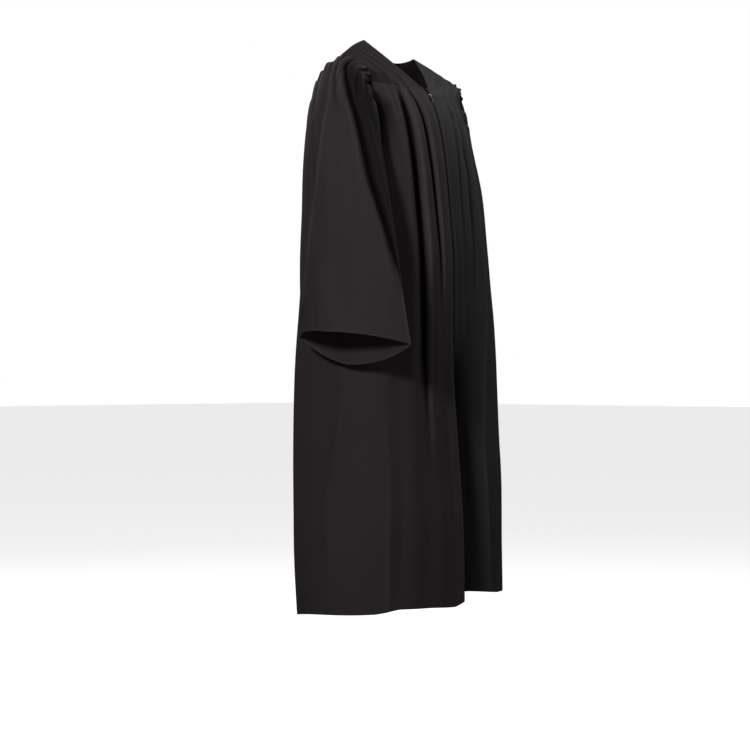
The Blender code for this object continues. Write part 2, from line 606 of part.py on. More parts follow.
def rounded(w, l0, l1, r, per=3):
    """Outline with rounded corners: across -w to w, along l0 to l1."""
    pts = []
    for cx, cy, a0 in ((w - r, l1 - r, 0), (-w + r, l1 - r, 90), (-w + r, l0 + r, 180), (w - r, l0 + r, 270)):
        for i in range(per + 1):
            a = math.radians(a0 + 90 * i / per)
            pts.append((cx + r * math.cos(a), cy + r * math.sin(a)))
    return pts


def build():
    for ob in list(bpy.data.objects):
        bpy.data.objects.remove(ob, do_unlink=True)
    black = {}
    def cloth(name):
        black[name] = cloth_material(name + "_cloth", (0.018, 0.017, 0.018), 0.82)
        return black[name]

    # yokes
    fy = front_yoke_grid()
    fy = trim(fy, top=SHOULDER_GAP)
    for side, name in ((-1, "yoke_front_right"), (1, "yoke_front_left")):
        g = sided(fy, side)
        add_wall(name, g, outward(g), WALL, cloth(name))
    by = back_yoke_grid()
    for j in list(range(0, 9)) + list(range(by.shape[1] - 9, by.shape[1])):
        v = by[1, j] - by[0, j]
        by[0, j] += v / np.linalg.norm(v) * SHOULDER_GAP
    add_wall("yoke_back", by, outward(by), WALL, cloth("yoke_back"))

    # fronts and back
    for side, name in ((-1, "front_right"), (1, "front_left")):
        g = front_grid(side)
        add_wall(name, g, outward(g), WALL, cloth(name))
    g = back_grid()
    add_wall("back", g, outward(g), WALL, cloth("back"))

    # sleeves
    levels = [0, 1, 1.5, 2, 2.5, 3, 4, 5, 6, 7, 8]
    for side, table, name in ((-1, SLEEVE_RIGHT, "sleeve_right"), (1, SLEEVE_LEFT, "sleeve_left")):
        g = sided(sleeve_grid(table, levels, side), side)
        n = normals(g, cyclic=True)
        if ((g - g.mean(axis=1, keepdims=True)) * n).sum() < 0:
            n = -n
        n = even(n, cyclic=True)
        add_wall(name, g, n, WALL, cloth(name), cyclic=True)

    # zip tapes and chain behind the front edges
    depth = WALL / 2 + 0.0005 + TAPE_T / 2
    near = CHAIN_W / 2 + 0.0004
    for side, name in ((-1, "zip_tape_right"), (1, "zip_tape_left")):
        mid, n = strip(side * near, side * (near + TAPE_W), (side,) * 3, depth)
        add_wall(name, mid, n, TAPE_T, cloth(name))
    mid, n = strip(-CHAIN_W / 2, CHAIN_W / 2, (-1, -1, 1), WALL / 2 + 0.0005 + CHAIN_T / 2)
    add_wall("zip_chain", mid, n, CHAIN_T, cloth("zip_chain"))

    # slider with its bridge, and the pull tab under the bridge
    origin, d, n = metal_frame()
    def to_world(x, along, out):
        return origin + np.array([1.0, 0, 0]) * x + d * along + n * out
    nickel = cloth_material("slider_metal", (0.62, 0.62, 0.63), 0.30, 1.0)
    dark = cloth_material("pull_metal", (0.05, 0.05, 0.052), 0.35, 1.0)
    face = 0.0014
    low, high = face + 0.0019, face + 0.0027
    w, l = SLIDER_W / 2, SLIDER_L / 2
    b = 0.0006
    x_cuts, d_cuts = (-w, -b, b, w), (-l, -0.0030, -0.0021, 0.0021, 0.0030, l)
    n_cuts = (-0.0006, face, low, high)
    def solid(i, j, k):
        if k == 0:
            return 0 <= i < 3 and 0 <= j < 5
        if i != 1:
            return False
        return (k == 1 and j in (1, 3)) or (k == 2 and j in (1, 2, 3))
    index, verts, faces = {}, [], []
    def vid(i, j, k):
        if (i, j, k) not in index:
            index[(i, j, k)] = len(verts)
            taper = 1.0 - 0.16 * (d_cuts[j] + l) / (2 * l) if i in (0, 3) else 1.0
            verts.append(to_world(x_cuts[i] * taper, d_cuts[j], n_cuts[k]))
        return index[(i, j, k)]
    for i in range(3):
        for j in range(5):
            for k in range(3):
                if not solid(i, j, k):
                    continue
                c = {(a, bb, cc): (i + a, j + bb, k + cc) for a in (0, 1) for bb in (0, 1) for cc in (0, 1)}
                sides = [((-1, 0, 0), [(0, 0, 0), (0, 0, 1), (0, 1, 1), (0, 1, 0)]),
                         ((1, 0, 0), [(1, 0, 0), (1, 1, 0), (1, 1, 1), (1, 0, 1)]),
                         ((0, -1, 0), [(0, 0, 0), (1, 0, 0), (1, 0, 1), (0, 0, 1)]),
                         ((0, 1, 0), [(0, 1, 0), (0, 1, 1), (1, 1, 1), (1, 1, 0)]),
                         ((0, 0, -1), [(0, 0, 0), (0, 1, 0), (1, 1, 0), (1, 0, 0)]),
                         ((0, 0, 1), [(0, 0, 1), (1, 0, 1), (1, 1, 1), (0, 1, 1)])]
                for step, corners in sides:
                    a, bb, cc = i + step[0], j + step[1], k + step[2]
                    inside = 0 <= a < 3 and 0 <= bb < 5 and 0 <= cc < 3 and solid(a, bb, cc)
                    if not inside:
                        faces.append(tuple(vid(*c[q]) for q in corners))
    add_object("zip_slider", verts, faces, nickel, smooth=False)

    axis_out = face + 0.0010
    outline = rounded(PULL_W / 2, -0.00050, PULL_L, 0.00045)
    window = rounded(0.00115, 0.00050, 0.0048, 0.0003)
    pv, pf = extrude(outline, window, axis_out - PULL_T / 2, axis_out + PULL_T / 2, to_world)
    pull = add_object("zip_pull", pv, pf, dark, smooth=False)
    hinge = to_world(0.0, 0.0, axis_out)
    for v in pull.data.vertices:
        v.co = [v.co[k] - hinge[k] for k in range(3)]
    pull.location = tuple(hinge)


build()
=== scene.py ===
"""Graduation gown: fine cloth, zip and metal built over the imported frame.
Metres, +Z up, the front faces -Y, the wearer's right is -X."""

import json
import math

import bmesh
import bpy
import numpy as np
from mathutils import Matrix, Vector

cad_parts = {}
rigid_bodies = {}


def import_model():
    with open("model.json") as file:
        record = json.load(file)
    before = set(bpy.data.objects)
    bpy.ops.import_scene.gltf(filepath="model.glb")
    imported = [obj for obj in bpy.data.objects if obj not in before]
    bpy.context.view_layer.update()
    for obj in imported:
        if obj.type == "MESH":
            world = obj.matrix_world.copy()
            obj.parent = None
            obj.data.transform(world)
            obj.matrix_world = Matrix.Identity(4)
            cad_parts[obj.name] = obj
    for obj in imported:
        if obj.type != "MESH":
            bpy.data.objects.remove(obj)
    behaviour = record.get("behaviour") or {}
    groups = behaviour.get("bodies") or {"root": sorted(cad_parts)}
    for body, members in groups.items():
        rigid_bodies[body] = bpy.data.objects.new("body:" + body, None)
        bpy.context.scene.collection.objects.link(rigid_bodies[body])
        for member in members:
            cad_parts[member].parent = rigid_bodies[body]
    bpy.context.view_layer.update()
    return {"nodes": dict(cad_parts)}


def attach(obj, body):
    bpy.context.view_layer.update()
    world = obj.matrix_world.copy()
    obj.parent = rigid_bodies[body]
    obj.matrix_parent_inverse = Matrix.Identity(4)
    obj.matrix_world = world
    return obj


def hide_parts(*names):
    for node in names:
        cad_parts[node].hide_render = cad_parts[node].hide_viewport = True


for ob in list(bpy.data.objects):
    bpy.data.objects.remove(ob, do_unlink=True)
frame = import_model()

# ---------------------------------------------------------------- driving sizes (m), as in the frame
CLOTH = 0.0009           # visible cloth
GAP = -0.0001            # the side seams lap by this, so no light shows through them
YOKE_GAP = 0.0008
SHOULDER_GAP = 0.0010
SLEEVE_OPEN = 0.013
SLEEVE_CLEAR = 0.005
SEAM = 0.0019
YOKE_FRONT_Z = -0.100
YOKE_BACK_Z = -0.140
UNDERARM_Z = -0.300
ZIP_END_Z = -0.620
HEM_MEAN = -1.120
NOTCH_HALF = 0.0036
NOTCH_END_Z = -0.123
EDGE = 0.0004
TILT = 0.080
DRAWN_IN = 0.013
HIP_OUT = 0.010
SLIPPED = 0.012
STAND_OUT = 0.005
SET_BACK = 0.030
TAPE_W = 0.0115
TAPE_T = 0.0006
CHAIN_W = 0.0044
HEM_TURN = 0.026         # depth of the turned-up hem
CUFF_TURN = 0.022
SLIDER_Z = -0.1085
WALL = 0.0016

BODY = {
    "z":      [-1.180, -1.000, -0.800, -0.650, -0.470, -0.310, -0.215, -0.175, -0.135, -0.100],
    "half_w": [0.240, 0.232, 0.212, 0.200, 0.182, 0.177, 0.170, 0.167, 0.166, 0.168],
    "front":  [0.176, 0.173, 0.158, 0.150, 0.150, 0.136, 0.122, 0.113, 0.099, 0.080],
    "back":   [0.150, 0.170, 0.176, 0.173, 0.166, 0.160, 0.152, 0.146, 0.136, 0.122],
    "square": [2.20, 2.30, 2.60, 2.90, 3.00, 2.90, 2.60, 2.40, 2.30, 2.30],
}
HEM_RIGHT = {"deg": [-180, -135, -90, -60, -45, -30, -10, 0], "z": [-1.155, -1.155, -1.140, -1.136, -1.127, -1.127, -1.129, -1.119]}
HEM_LEFT = {"deg": [0, 10, 45, 70, 90, 135, 180], "z": [-1.106, -1.104, -1.113, -1.116, -1.122, -1.142, -1.155]}
ARM_FRONT = {"z": [-0.300, -0.297, -0.290, -0.275, -0.250, -0.215, -0.175, -0.135, -0.100],
             "y": [0.000, 0.018, 0.034, 0.050, 0.064, 0.072, 0.070, 0.0625, 0.0536]}
ARM_BACK = {"z": [-0.300, -0.297, -0.290, -0.270, -0.240, -0.205, -0.170, -0.140],
            "y": [0.000, 0.021, 0.040, 0.062, 0.078, 0.084, 0.082, 0.0777]}
YOKE_FRONT_W = 0.135
YOKE_BACK_W = 0.145

# folds of the body: side (-1 right, 1 left), front or back, kind, distance from the centre line and height in mm at
# each FOLD_Z (minus is a valley), widths in mm towards the centre and away from it.
# A knife fold falls slowly to its height from the side away from the centre, and stands up again at once beyond it
FOLD_Z = [-0.100, -0.130, -0.170, -0.230, -0.300, -0.400, -0.500, -0.640, -0.800, -0.980, -1.150]
FOLDS = [
    # side back kind    x at each height                                                            height (mm) at each height           w_in w_out
    (-1, 0, "knife", (0.083, 0.078, 0.074, 0.073, 0.073, 0.0735, 0.074, 0.074, 0.074, 0.074, 0.074), (-1.6, -8, -13, -17, -19, -18, -14, -7, -2, 0, 0), 14, 17),
    (-1, 0, "knife", (0.060, 0.044, 0.036, 0.0345, 0.033, 0.0325, 0.032, 0.032, 0.032, 0.032, 0.032), (-1.6, -6, -9, -10, -9, -6, -3, 0, 0, 0, 0), 9, 11),
    (-1, 0, "soft", (0.112, 0.111, 0.110, 0.110, 0.109, 0.109, 0.110, 0.112, 0.115, 0.118, 0.120), (0, 2, 3, 4, 5, 5, 5, 4, 3, 2, 1), 14, 18),
    (-1, 0, "soft", (0.104, 0.103, 0.101, 0.099, 0.098, 0.098, 0.098, 0.098, 0.098, 0.098, 0.098), (-0.8, -2.4, -1.4, 0, 0, 0, 0, 0, 0, 0, 0), 4, 7),
    (-1, 0, "soft", (0.021, 0.020, 0.018, 0.017, 0.016, 0.016, 0.017, 0.018, 0.020, 0.022, 0.024), (0, -1.0, -1.6, -1.2, -1.6, -1.4, -1.0, -1.2, 0, 0, 0), 5, 8),
    (-1, 0, "crest", (0.160, 0.160, 0.160, 0.160, 0.160, 0.160, 0.160, 0.161, 0.163, 0.169, 0.174), (0, 0, 0, 0, 0, 0, 0, 0.6, 1.8, 3.6, 4), 13, 12),
    (-1, 0, "soft", (0.190, 0.190, 0.190, 0.190, 0.190, 0.190, 0.1915, 0.1985, 0.2105, 0.2295, 0.2345), (0, 0, 0, 0, 0, 0, 1, 3, 3.5, 3, 1), 14, 14),
    (-1, 0, "soft", (0.133, 0.133, 0.133, 0.133, 0.134, 0.136, 0.138, 0.140, 0.143, 0.146, 0.148), (0, 0, 0, 0, 0, 0, -1, -1.6, -1.6, -1.4, -1), 15, 15),
    (-1, 0, "soft", (0.050, 0.050, 0.050, 0.050, 0.050, 0.050, 0.050, 0.052, 0.055, 0.058, 0.060), (0, 0, 0, 0, 0, 0, 0, 0.8, 1.6, 1.8, 1.2), 14, 15),
    (-1, 0, "soft", (0.030, 0.030, 0.030, 0.030, 0.030, 0.030, 0.030, 0.028, 0.026, 0.024, 0.022), (0, 0, 0, 0, 0, 0, 0, -1.0, -2.0, -1.6, -0.6), 10, 11),
    (1, 0, "knife", (0.076, 0.074, 0.072, 0.070, 0.069, 0.068, 0.067, 0.066, 0.066, 0.066, 0.066), (-1.2, -3, -4, -4, -4, -3, -2, 0, 0, 0, 0), 10, 13),
    (1, 0, "knife", (0.055, 0.052, 0.048, 0.044, 0.040, 0.038, 0.036, 0.035, 0.034, 0.034, 0.034), (-1.2, -3, -4, -4, -3, -2, -1, 0, 0, 0, 0), 8, 11),
    (1, 0, "crest", (0.088, 0.088, 0.088, 0.090, 0.092, 0.095, 0.098, 0.092, 0.081, 0.084, 0.092), (0, 1.5, 3, 4, 5, 5.5, 5.5, 6, 6.5, 5.5, 3), 10, 11),
    (1, 0, "soft", (0.050, 0.050, 0.050, 0.050, 0.050, 0.050, 0.050, 0.050, 0.048, 0.046, 0.044), (0, 0, 0, 0, -1, -2, -3, -4, -5, -4, -3), 22, 20),
    (1, 0, "soft", (0.024, 0.023, 0.021, 0.020, 0.019, 0.019, 0.019, 0.020, 0.022, 0.026, 0.030), (0, -0.8, -1.2, -1.0, -1.4, -1.6, -1.0, -0.6, -0.4, 0, 0), 6, 8),
    (1, 0, "soft", (0.136, 0.136, 0.136, 0.136, 0.138, 0.140, 0.142, 0.144, 0.146, 0.150, 0.152), (0, 0, 0, 0, -1, -3, -4, -4, -4, -4, -3), 14, 16),
    (-1, 1, "soft", (0.118, 0.120, 0.122, 0.125, 0.130, 0.133, 0.136, 0.143, 0.150, 0.154, 0.158), (0, 0, 6, 7, 7, 6, 6, 6, 7, 8, 9), 16, 18),
    (-1, 1, "soft", (0.088, 0.089, 0.090, 0.092, 0.096, 0.099, 0.102, 0.107, 0.112, 0.116, 0.120), (0, 0, -6, -8, -8, -7, -6, -7, -8, -10, -11), 13, 13),
    (-1, 1, "soft", (0.055, 0.055, 0.056, 0.058, 0.060, 0.063, 0.066, 0.070, 0.074, 0.077, 0.080), (0, 0, 5, 6, 6, 5, 5, 6, 7, 9, 10), 15, 15),
    (-1, 1, "soft", (0.024, 0.024, 0.024, 0.025, 0.026, 0.028, 0.030, 0.032, 0.034, 0.036, 0.038), (0, 0, -5, -6, -6, -5, -5, -6, -6, -8, -10), 13, 13),
    (1, 1, "soft", (0.120, 0.121, 0.122, 0.126, 0.130, 0.134, 0.138, 0.145, 0.152, 0.157, 0.162), (0, 0, 5, 7, 7, 6, 6, 7, 8, 8, 9), 16, 18),
    (1, 1, "soft", (0.092, 0.093, 0.094, 0.097, 0.100, 0.104, 0.108, 0.114, 0.120, 0.124, 0.128), (0, 0, -6, -7, -7, -6, -6, -6, -7, -9, -10), 13, 13),
    (1, 1, "soft", (0.062, 0.063, 0.064, 0.066, 0.068, 0.071, 0.074, 0.079, 0.084, 0.088, 0.092), (0, 0, 5, 7, 7, 6, 6, 6, 7, 9, 10), 15, 15),
    (1, 1, "soft", (0.030, 0.030, 0.031, 0.032, 0.034, 0.036, 0.038, 0.041, 0.044, 0.047, 0.050), (0, 0, -5, -6, -6, -5, -4, -5, -5, -7, -9), 13, 13),
]
# gathers of the back under its yoke: side, distance from the centre line at the seam, how far they run down,
# how far they lean outwards, height and width in mm
GATHERS = [
    (-1, 0.134, 0.10, 0.004, 1.6, 3.4), (-1, 0.124, 0.22, 0.006, -2.1, 4.0), (-1, 0.112, 0.15, 0.006, 1.8, 3.2),
    (-1, 0.103, 0.30, 0.009, -2.2, 4.6), (-1, 0.094, 0.12, 0.004, 1.6, 3.0), (-1, 0.083, 0.19, 0.006, -1.8, 3.6),
    (-1, 0.073, 0.34, 0.010, 2.3, 4.6), (-1, 0.062, 0.14, 0.003, -1.7, 3.2), (-1, 0.052, 0.09, 0.002, 1.4, 3.0),
    (-1, 0.042, 0.26, 0.005, -2.1, 4.2), (-1, 0.031, 0.17, 0.003, 1.8, 3.6), (-1, 0.019, 0.12, 0.001, -1.4, 3.0),
    (-1, 0.008, 0.28, 0.001, 1.9, 4.2), (1, 0.004, 0.11, 0.001, -1.5, 3.0), (1, 0.014, 0.18, 0.002, -1.7, 3.6),
    (1, 0.025, 0.31, 0.004, 2.2, 4.4), (1, 0.037, 0.13, 0.003, -1.6, 3.2), (1, 0.047, 0.10, 0.003, 1.5, 2.8),
    (1, 0.057, 0.24, 0.006, -2.2, 4.4), (1, 0.069, 0.16, 0.005, 1.7, 3.2), (1, 0.078, 0.12, 0.004, -1.5, 3.2),
    (1, 0.089, 0.33, 0.010, 2.3, 4.8), (1, 0.101, 0.18, 0.007, -1.9, 3.6), (1, 0.111, 0.13, 0.005, 1.6, 3.0),
    (1, 0.121, 0.25, 0.008, -2.2, 4.4), (1, 0.133, 0.11, 0.004, 1.6, 3.4),
]
# soft dents and swells of the body: side, front or back, x, z, height in mm, half width and half length in mm,
# and how the long way leans (degrees from the vertical, the lower end outwards)
DENTS = [
    (1, 0, 0.060, -0.150, -1.8, 9, 20, 28), (1, 0, 0.094, -0.172, 1.8, 8, 24, -14), (1, 0, 0.066, -0.222, -2.0, 8, 30, 12),
    (1, 0, 0.100, -0.262, -1.8, 9, 34, 6), (1, 0, 0.052, -0.330, 1.5, 10, 44, 5), (1, 0, 0.096, -0.400, -1.8, 9, 50, -4),
    (1, 0, 0.058, -0.470, -1.6, 10, 48, 3), (1, 0, 0.034, -0.560, 1.6, 10, 52, -3), (1, 0, 0.122, -0.560, -2.0, 12, 60, -6),
    (1, 0, 0.052, -0.720, 2.0, 13, 80, 3), (1, 0, 0.118, -0.760, -2.4, 14, 90, -2), (1, 0, 0.056, -0.930, -2.0, 14, 90, 2),
    (1, 0, 0.120, -0.990, 2.4, 16, 100, 3), (1, 0, 0.032, -1.030, 1.8, 12, 70, -2), (1, 0, 0.150, -0.860, 2.0, 14, 90, 2),
    (-1, 0, 0.062, -0.128, -1.2, 5, 16, 12), (-1, 0, 0.122, -0.140, 1.4, 6, 22, 8), (-1, 0, 0.036, -0.196, -1.2, 7, 26, -10),
    (-1, 0, 0.098, -0.250, 1.4, 8, 34, 4), (-1, 0, 0.058, -0.330, -1.4, 8, 40, -3), (-1, 0, 0.126, -0.380, -2.0, 9, 44, 3),
    (-1, 0, 0.052, -0.520, -1.5, 9, 56, 3), (-1, 0, 0.130, -0.540, 1.6, 10, 50, -3), (-1, 0, 0.094, -0.650, -1.8, 11, 70, 2),
    (-1, 0, 0.070, -0.780, 1.4, 12, 70, -2), (-1, 0, 0.128, -0.870, 1.6, 12, 80, 2), (-1, 0, 0.090, -1.010, -1.8, 13, 80, -2),
    (-1, 0, 0.184, -0.820, -2.0, 12, 90, 2), (-1, 0, 0.154, -1.010, -1.8, 12, 80, 2),
    (-1, 1, 0.150, -0.520, -2.0, 12, 70, 4), (-1, 1, 0.100, -0.760, 2.2, 13, 90, 4), (-1, 1, 0.048, -0.900, -2.2, 13, 90, 3),
    (-1, 1, 0.172, -0.960, -2.4, 14, 90, 3), (1, 1, 0.154, -0.640, -2.0, 12, 80, 4), (1, 1, 0.110, -0.900, 2.2, 13, 90, 4),
    (1, 1, 0.058, -0.720, -2.0, 12, 80, 3), (1, 1, 0.176, -0.930, -2.2, 14, 90, 3), (1, 1, 0.020, -1.000, 2.0, 12, 80, 1),
]
# dents of the yokes: share from the neck to the armhole, share from the shoulder down, height in mm, half width and
# half length as shares, and lean in degrees
YOKE_DENTS_RIGHT = [
    (0.30, 0.45, -2.6, 0.06, 0.50, -24), (0.44, 0.52, 2.2, 0.05, 0.46, -18), (0.56, 0.58, -2.8, 0.05, 0.48, -10),
    (0.70, 0.50, 2.2, 0.05, 0.40, -4), (0.82, 0.60, -2.2, 0.045, 0.40, 3), (0.16, 0.55, 1.6, 0.06, 0.42, -28),
    (0.91, 0.48, 1.2, 0.035, 0.34, 6),
]
YOKE_DENTS_LEFT = [
    (0.34, 0.48, -2.2, 0.07, 0.46, -26), (0.52, 0.50, 1.8, 0.07, 0.44, -14), (0.70, 0.56, -2.2, 0.05, 0.42, -5),
    (0.84, 0.52, 1.4, 0.05, 0.36, 5), (0.18, 0.60, 1.2, 0.06, 0.38, -28),
]
YOKE_DENTS_BACK = [
    (0.14, 0.50, -1.2, 0.05, 0.40, 14), (0.27, 0.55, 1.0, 0.06, 0.44, 8), (0.40, 0.62, -1.1, 0.06, 0.36, 4),
    (0.52, 0.58, 0.9, 0.07, 0.34, 0), (0.63, 0.60, -1.1, 0.06, 0.38, -5), (0.75, 0.52, 1.0, 0.06, 0.44, -9),
    (0.88, 0.50, -1.2, 0.05, 0.40, -14),
]

SLEEVE_RIGHT = [
    ((0.1900, 0.000, -0.070), (0.1580, -0.092, -0.175), (0.1900, 0.004, -0.318), (0.1620, 0.102, -0.188), 0.25),
    ((0.2160, 0.000, -0.132), (0.1690, -0.112, -0.235), (0.1920, -0.002, -0.355), (0.1800, 0.086, -0.247), 0.25),
    ((0.2340, -0.003, -0.217), (0.1780, -0.136, -0.305), (0.1940, -0.012, -0.402), (0.1960, 0.072, -0.314), 0.28),
    ((0.2480, -0.014, -0.325), (0.1870, -0.162, -0.388), (0.1980, -0.026, -0.462), (0.2060, 0.066, -0.395), 0.38),
    ((0.2620, -0.030, -0.440), (0.1930, -0.186, -0.476), (0.2040, -0.044, -0.532), (0.2180, 0.062, -0.480), 0.5),
    ((0.2730, -0.052, -0.530), (0.1940, -0.201, -0.556), (0.2110, -0.060, -0.600), (0.2300, 0.051, -0.552), 0.6),
    ((0.2800, -0.070, -0.586), (0.1900, -0.210, -0.612), (0.2150, -0.072, -0.650), (0.2400, 0.042, -0.597), 0.65),
]
SLEEVE_LEFT = [
    ((0.1840, 0.020, -0.071), (0.1570, -0.067, -0.176), (0.1900, 0.006, -0.318), (0.1640, 0.112, -0.185), 0.45),
    ((0.2010, 0.038, -0.135), (0.1740, -0.066, -0.242), (0.1920, 0.010, -0.355), (0.1820, 0.120, -0.245), 0.5),
    ((0.2200, 0.052, -0.217), (0.1910, -0.059, -0.316), (0.1940, 0.024, -0.405), (0.1960, 0.138, -0.312), 0.45),
    ((0.2400, 0.060, -0.325), (0.2034, -0.0478, -0.392), (0.1980, 0.044, -0.465), (0.2080, 0.156, -0.395), 0.4),
    ((0.2550, 0.074, -0.440), (0.2108, -0.0396, -0.480), (0.2040, 0.066, -0.534), (0.2180, 0.176, -0.482), 0.5),
    ((0.2670, 0.086, -0.530), (0.2174, -0.0358, -0.556), (0.2120, 0.088, -0.600), (0.2270, 0.196, -0.556), 0.6),
    ((0.2760, 0.094, -0.590), (0.2220, -0.034, -0.612), (0.2180, 0.102, -0.650), (0.2330, 0.210, -0.606), 0.65),
]
# folds of the sleeves: kind, then by row (0 the seam, 8 the hem) the direction in degrees and the height in mm, and
# the widths in mm on its outer and inner side. A crease stands up to a crisp edge
SLEEVE_FOLDS_RIGHT = [
    ("soft", (0, 1, 2.25, 2.85, 3.35, 3.85, 4.4, 4.85, 5.2, 5.7, 6.25, 7, 8), (13, 15, 20, 33, 46, 54, 61, 71, 77, 82, 86, 88, 90), (-1, -4, -10, -16, -20, -22, -22, -20, -16, -10, -4, 0, 0), 9.5, 8.5),
    ("soft", (0, 2, 3, 4, 5, 6, 8), (30, 47, 63, 77, 86, 90, 90), (0, 1, 3, 4, 2, 0, 0), 10, 8),
    ("soft", (0, 2.25, 2.8, 3.3, 4, 8), (2, 4.4, 11, 19.7, 26, 30), (-1, -5, -4.5, -2.5, 0, 0), 4.5, 5.5),
    ("soft", (0, 2.3, 2.6, 3.2, 8), (33, 39, 42, 46, 50), (-1.5, -4, -3, 0, 0), 3.5, 4),
    ("soft", (0, 2.2, 2.6, 3.2, 8), (50, 56, 64, 70, 75), (-1.5, -3.5, -3, 0, 0), 3.5, 4.5),
    ("crease", (0, 2.6, 3, 3.8, 4.55, 5.2, 5.85, 6.7, 7.35, 8), (10, 9, 8.8, 6.6, 2.2, -6.3, -15.6, -34, -62, -88), (0, 0, 2.5, 4.5, 5, 5, 5, 4.6, 3.2, 1.8), 11, 10),
    ("soft", (0, 2, 3, 4, 5.5, 8), (-60, -54, -50, -52, -62, -74), (-1, -3, -5, -6, -3, 0), 9, 11),
    ("soft", (0, 2.4, 3, 4, 8), (-28, -26, -24, -22, -20), (-1, -4, -3, 0, 0), 4.5, 5),
    ("soft", (0, 4, 5.5, 6.6, 8), (36, 36, 38, 42, 46), (0, 0, 1.6, 2.6, 1.6), 16, 18),
]
SLEEVE_FOLDS_LEFT = [
    ("soft", (0, 1, 2.3, 3, 3.6, 4.3, 5, 5.6, 6.3, 8), (16, 18, 26, 38, 50, 60, 70, 78, 84, 88), (-1, -3, -6, -9, -11, -11, -9, -6, -3, 0), 8.5, 10),
    ("soft", (0, 2, 3, 4, 5, 6, 8), (36, 50, 62, 74, 84, 90, 90), (0, 2, 4, 4, 2, 0, 0), 9, 8),
    ("soft", (0, 2.2, 2.9, 3.6, 8), (-4, -6, -10, -14, -20), (-1, -4, -3, 0, 0), 4.5, 5),
    ("soft", (0, 2.3, 2.7, 3.3, 8), (30, 35, 38, 42, 50), (-1.4, -3.5, -2.5, 0, 0), 3.5, 4),
    ("crease", (0, 2.8, 3.4, 4.4, 5.4, 6.4, 7.3, 8), (6, 4, 2, -6, -18, -34, -60, -86), (0, 0, 2.2, 4, 4.4, 4.2, 3, 1.6), 11, 10),
    ("soft", (0, 2, 3, 4, 5.5, 8), (-64, -56, -54, -58, -66, -76), (-1, -4, -6, -5, -3, 0), 9, 11),
    ("soft", (0, 4, 5.5, 6.6, 8), (30, 32, 34, 38, 44), (0, 0, 1.8, 2.8, 1.8), 16, 18),
]
# small gathers at the sleeve heads: direction in degrees, row where they fade, lean in degrees, height and width in mm
HEAD_GATHERS = [
    (298, 2.4, 4, -3.4, 4.0), (307, 3.0, 6, 3.0, 3.8), (315, 2.6, 3, -4.0, 3.8), (322, 3.4, 5, 3.2, 4.0),
    (330, 2.5, 2, -4.0, 3.6), (338, 3.1, 3, 3.4, 3.8), (346, 3.8, 5, -4.8, 4.0), (354, 2.7, 1, 3.2, 3.6),
    (2, 3.2, 2, -4.4, 3.8), (10, 2.6, 0, 3.4, 3.6), (18, 3.4, -2, -4.0, 3.8), (26, 2.9, -1, 3.4, 3.8),
    (33, 3.3, 4, -4.6, 3.8), (41, 2.9, 0, 3.4, 3.8), (49, 3.3, 3, -4.4, 3.8), (57, 2.7, 2, 3.0, 3.6),
    (65, 3.2, 4, -4.0, 3.8), (74, 2.6, 2, 2.6, 3.6),
]
# dents and swells of the sleeves: direction in degrees, row, height in mm, half width in mm, half length in rows, lean
SLEEVE_DENTS = [
    (350, 4.2, -2.2, 9, 1.2, 6), (12, 5.0, 1.8, 10, 1.5, 5), (38, 4.6, -2.0, 8, 1.3, 8), (54, 6.0, 1.6, 9, 1.1, 4),
    (330, 5.8, 1.8, 10, 1.3, -4), (20, 6.6, -1.6, 9, 1.0, 3), (44, 7.3, -1.5, 7, 0.5, 0), (8, 7.5, 1.3, 8, 0.5, 0),
    (68, 7.2, 1.4, 7, 0.6, 0), (300, 7.0, -1.6, 9, 0.8, 0), (342, 7.4, -1.4, 8, 0.6, 0), (258, 5.2, 1.6, 9, 1.2, 0),
    (120, 6.2, -1.4, 9, 1.0, 0), (200, 6.8, 1.4, 10, 0.8, 0),
]

SHOULDER_NECK = (0.0720, 0.030, 0.004)
SHOULDER_END = (0.1650, 0.000, -0.048)
BACK_NECK = (0.0, 0.072, -0.012)
YOKE_ARM_FRONT = [(0.1650, 0.000, -0.048), (0.1570, -0.022, -0.054), (0.1480, -0.041, -0.066), (0.1400, -0.053, -0.080)]
YOKE_ARM_BACK = [(0.1650, 0.000, -0.048), (0.1610, 0.034, -0.060), (0.1530, 0.064, -0.085), (0.1470, 0.082, -0.112)]
ROWS_FRAME = [YOKE_FRONT_Z - YOKE_GAP, -0.1120, -0.1240, -0.1500, -0.1800, -0.2150, -0.2500, -0.2750, -0.2900, UNDERARM_Z]

# rows and columns of the fine meshes
ARM_ROWS = 66
SKIRT_ROWS = 190
YOKE_ROWS = 44
FRONT_COUNTS = (26, 14, 14, 18, 34)
BACK_COLS = 186
SLEEVE_ROWS = 128


# ---------------------------------------------------------------- curves and sections
def smooth_table(xs, ys, x):
    xs, ys, x = np.asarray(xs, float), np.asarray(ys, float), np.asarray(x, float)
    h = np.diff(xs)
    d = np.diff(ys) / h
    m = np.zeros_like(ys)
    m[0], m[-1] = d[0], d[-1]
    for k in range(1, len(xs) - 1):
        if d[k - 1] * d[k] > 0:
            w1, w2 = 2 * h[k] + h[k - 1], h[k] + 2 * h[k - 1]
            m[k] = (w1 + w2) / (w1 / d[k - 1] + w2 / d[k])
    xc = np.clip(x, xs[0], xs[-1])
    i = np.clip(np.searchsorted(xs, xc) - 1, 0, len(h) - 1)
    t = (xc - xs[i]) / h[i]
    return ((1 + 2 * t) * (1 - t) ** 2 * ys[i] + t * (1 - t) ** 2 * h[i] * m[i]
            + t * t * (3 - 2 * t) * ys[i + 1] + t * t * (t - 1) * h[i] * m[i + 1])


def ramp(a, b, x):
    t = np.clip((np.asarray(x, float) - a) / (b - a), 0.0, 1.0)
    return t * t * (3 - 2 * t)


def section(z):
    return tuple(smooth_table(BODY["z"], BODY[k], z) for k in ("half_w", "front", "back", "square"))


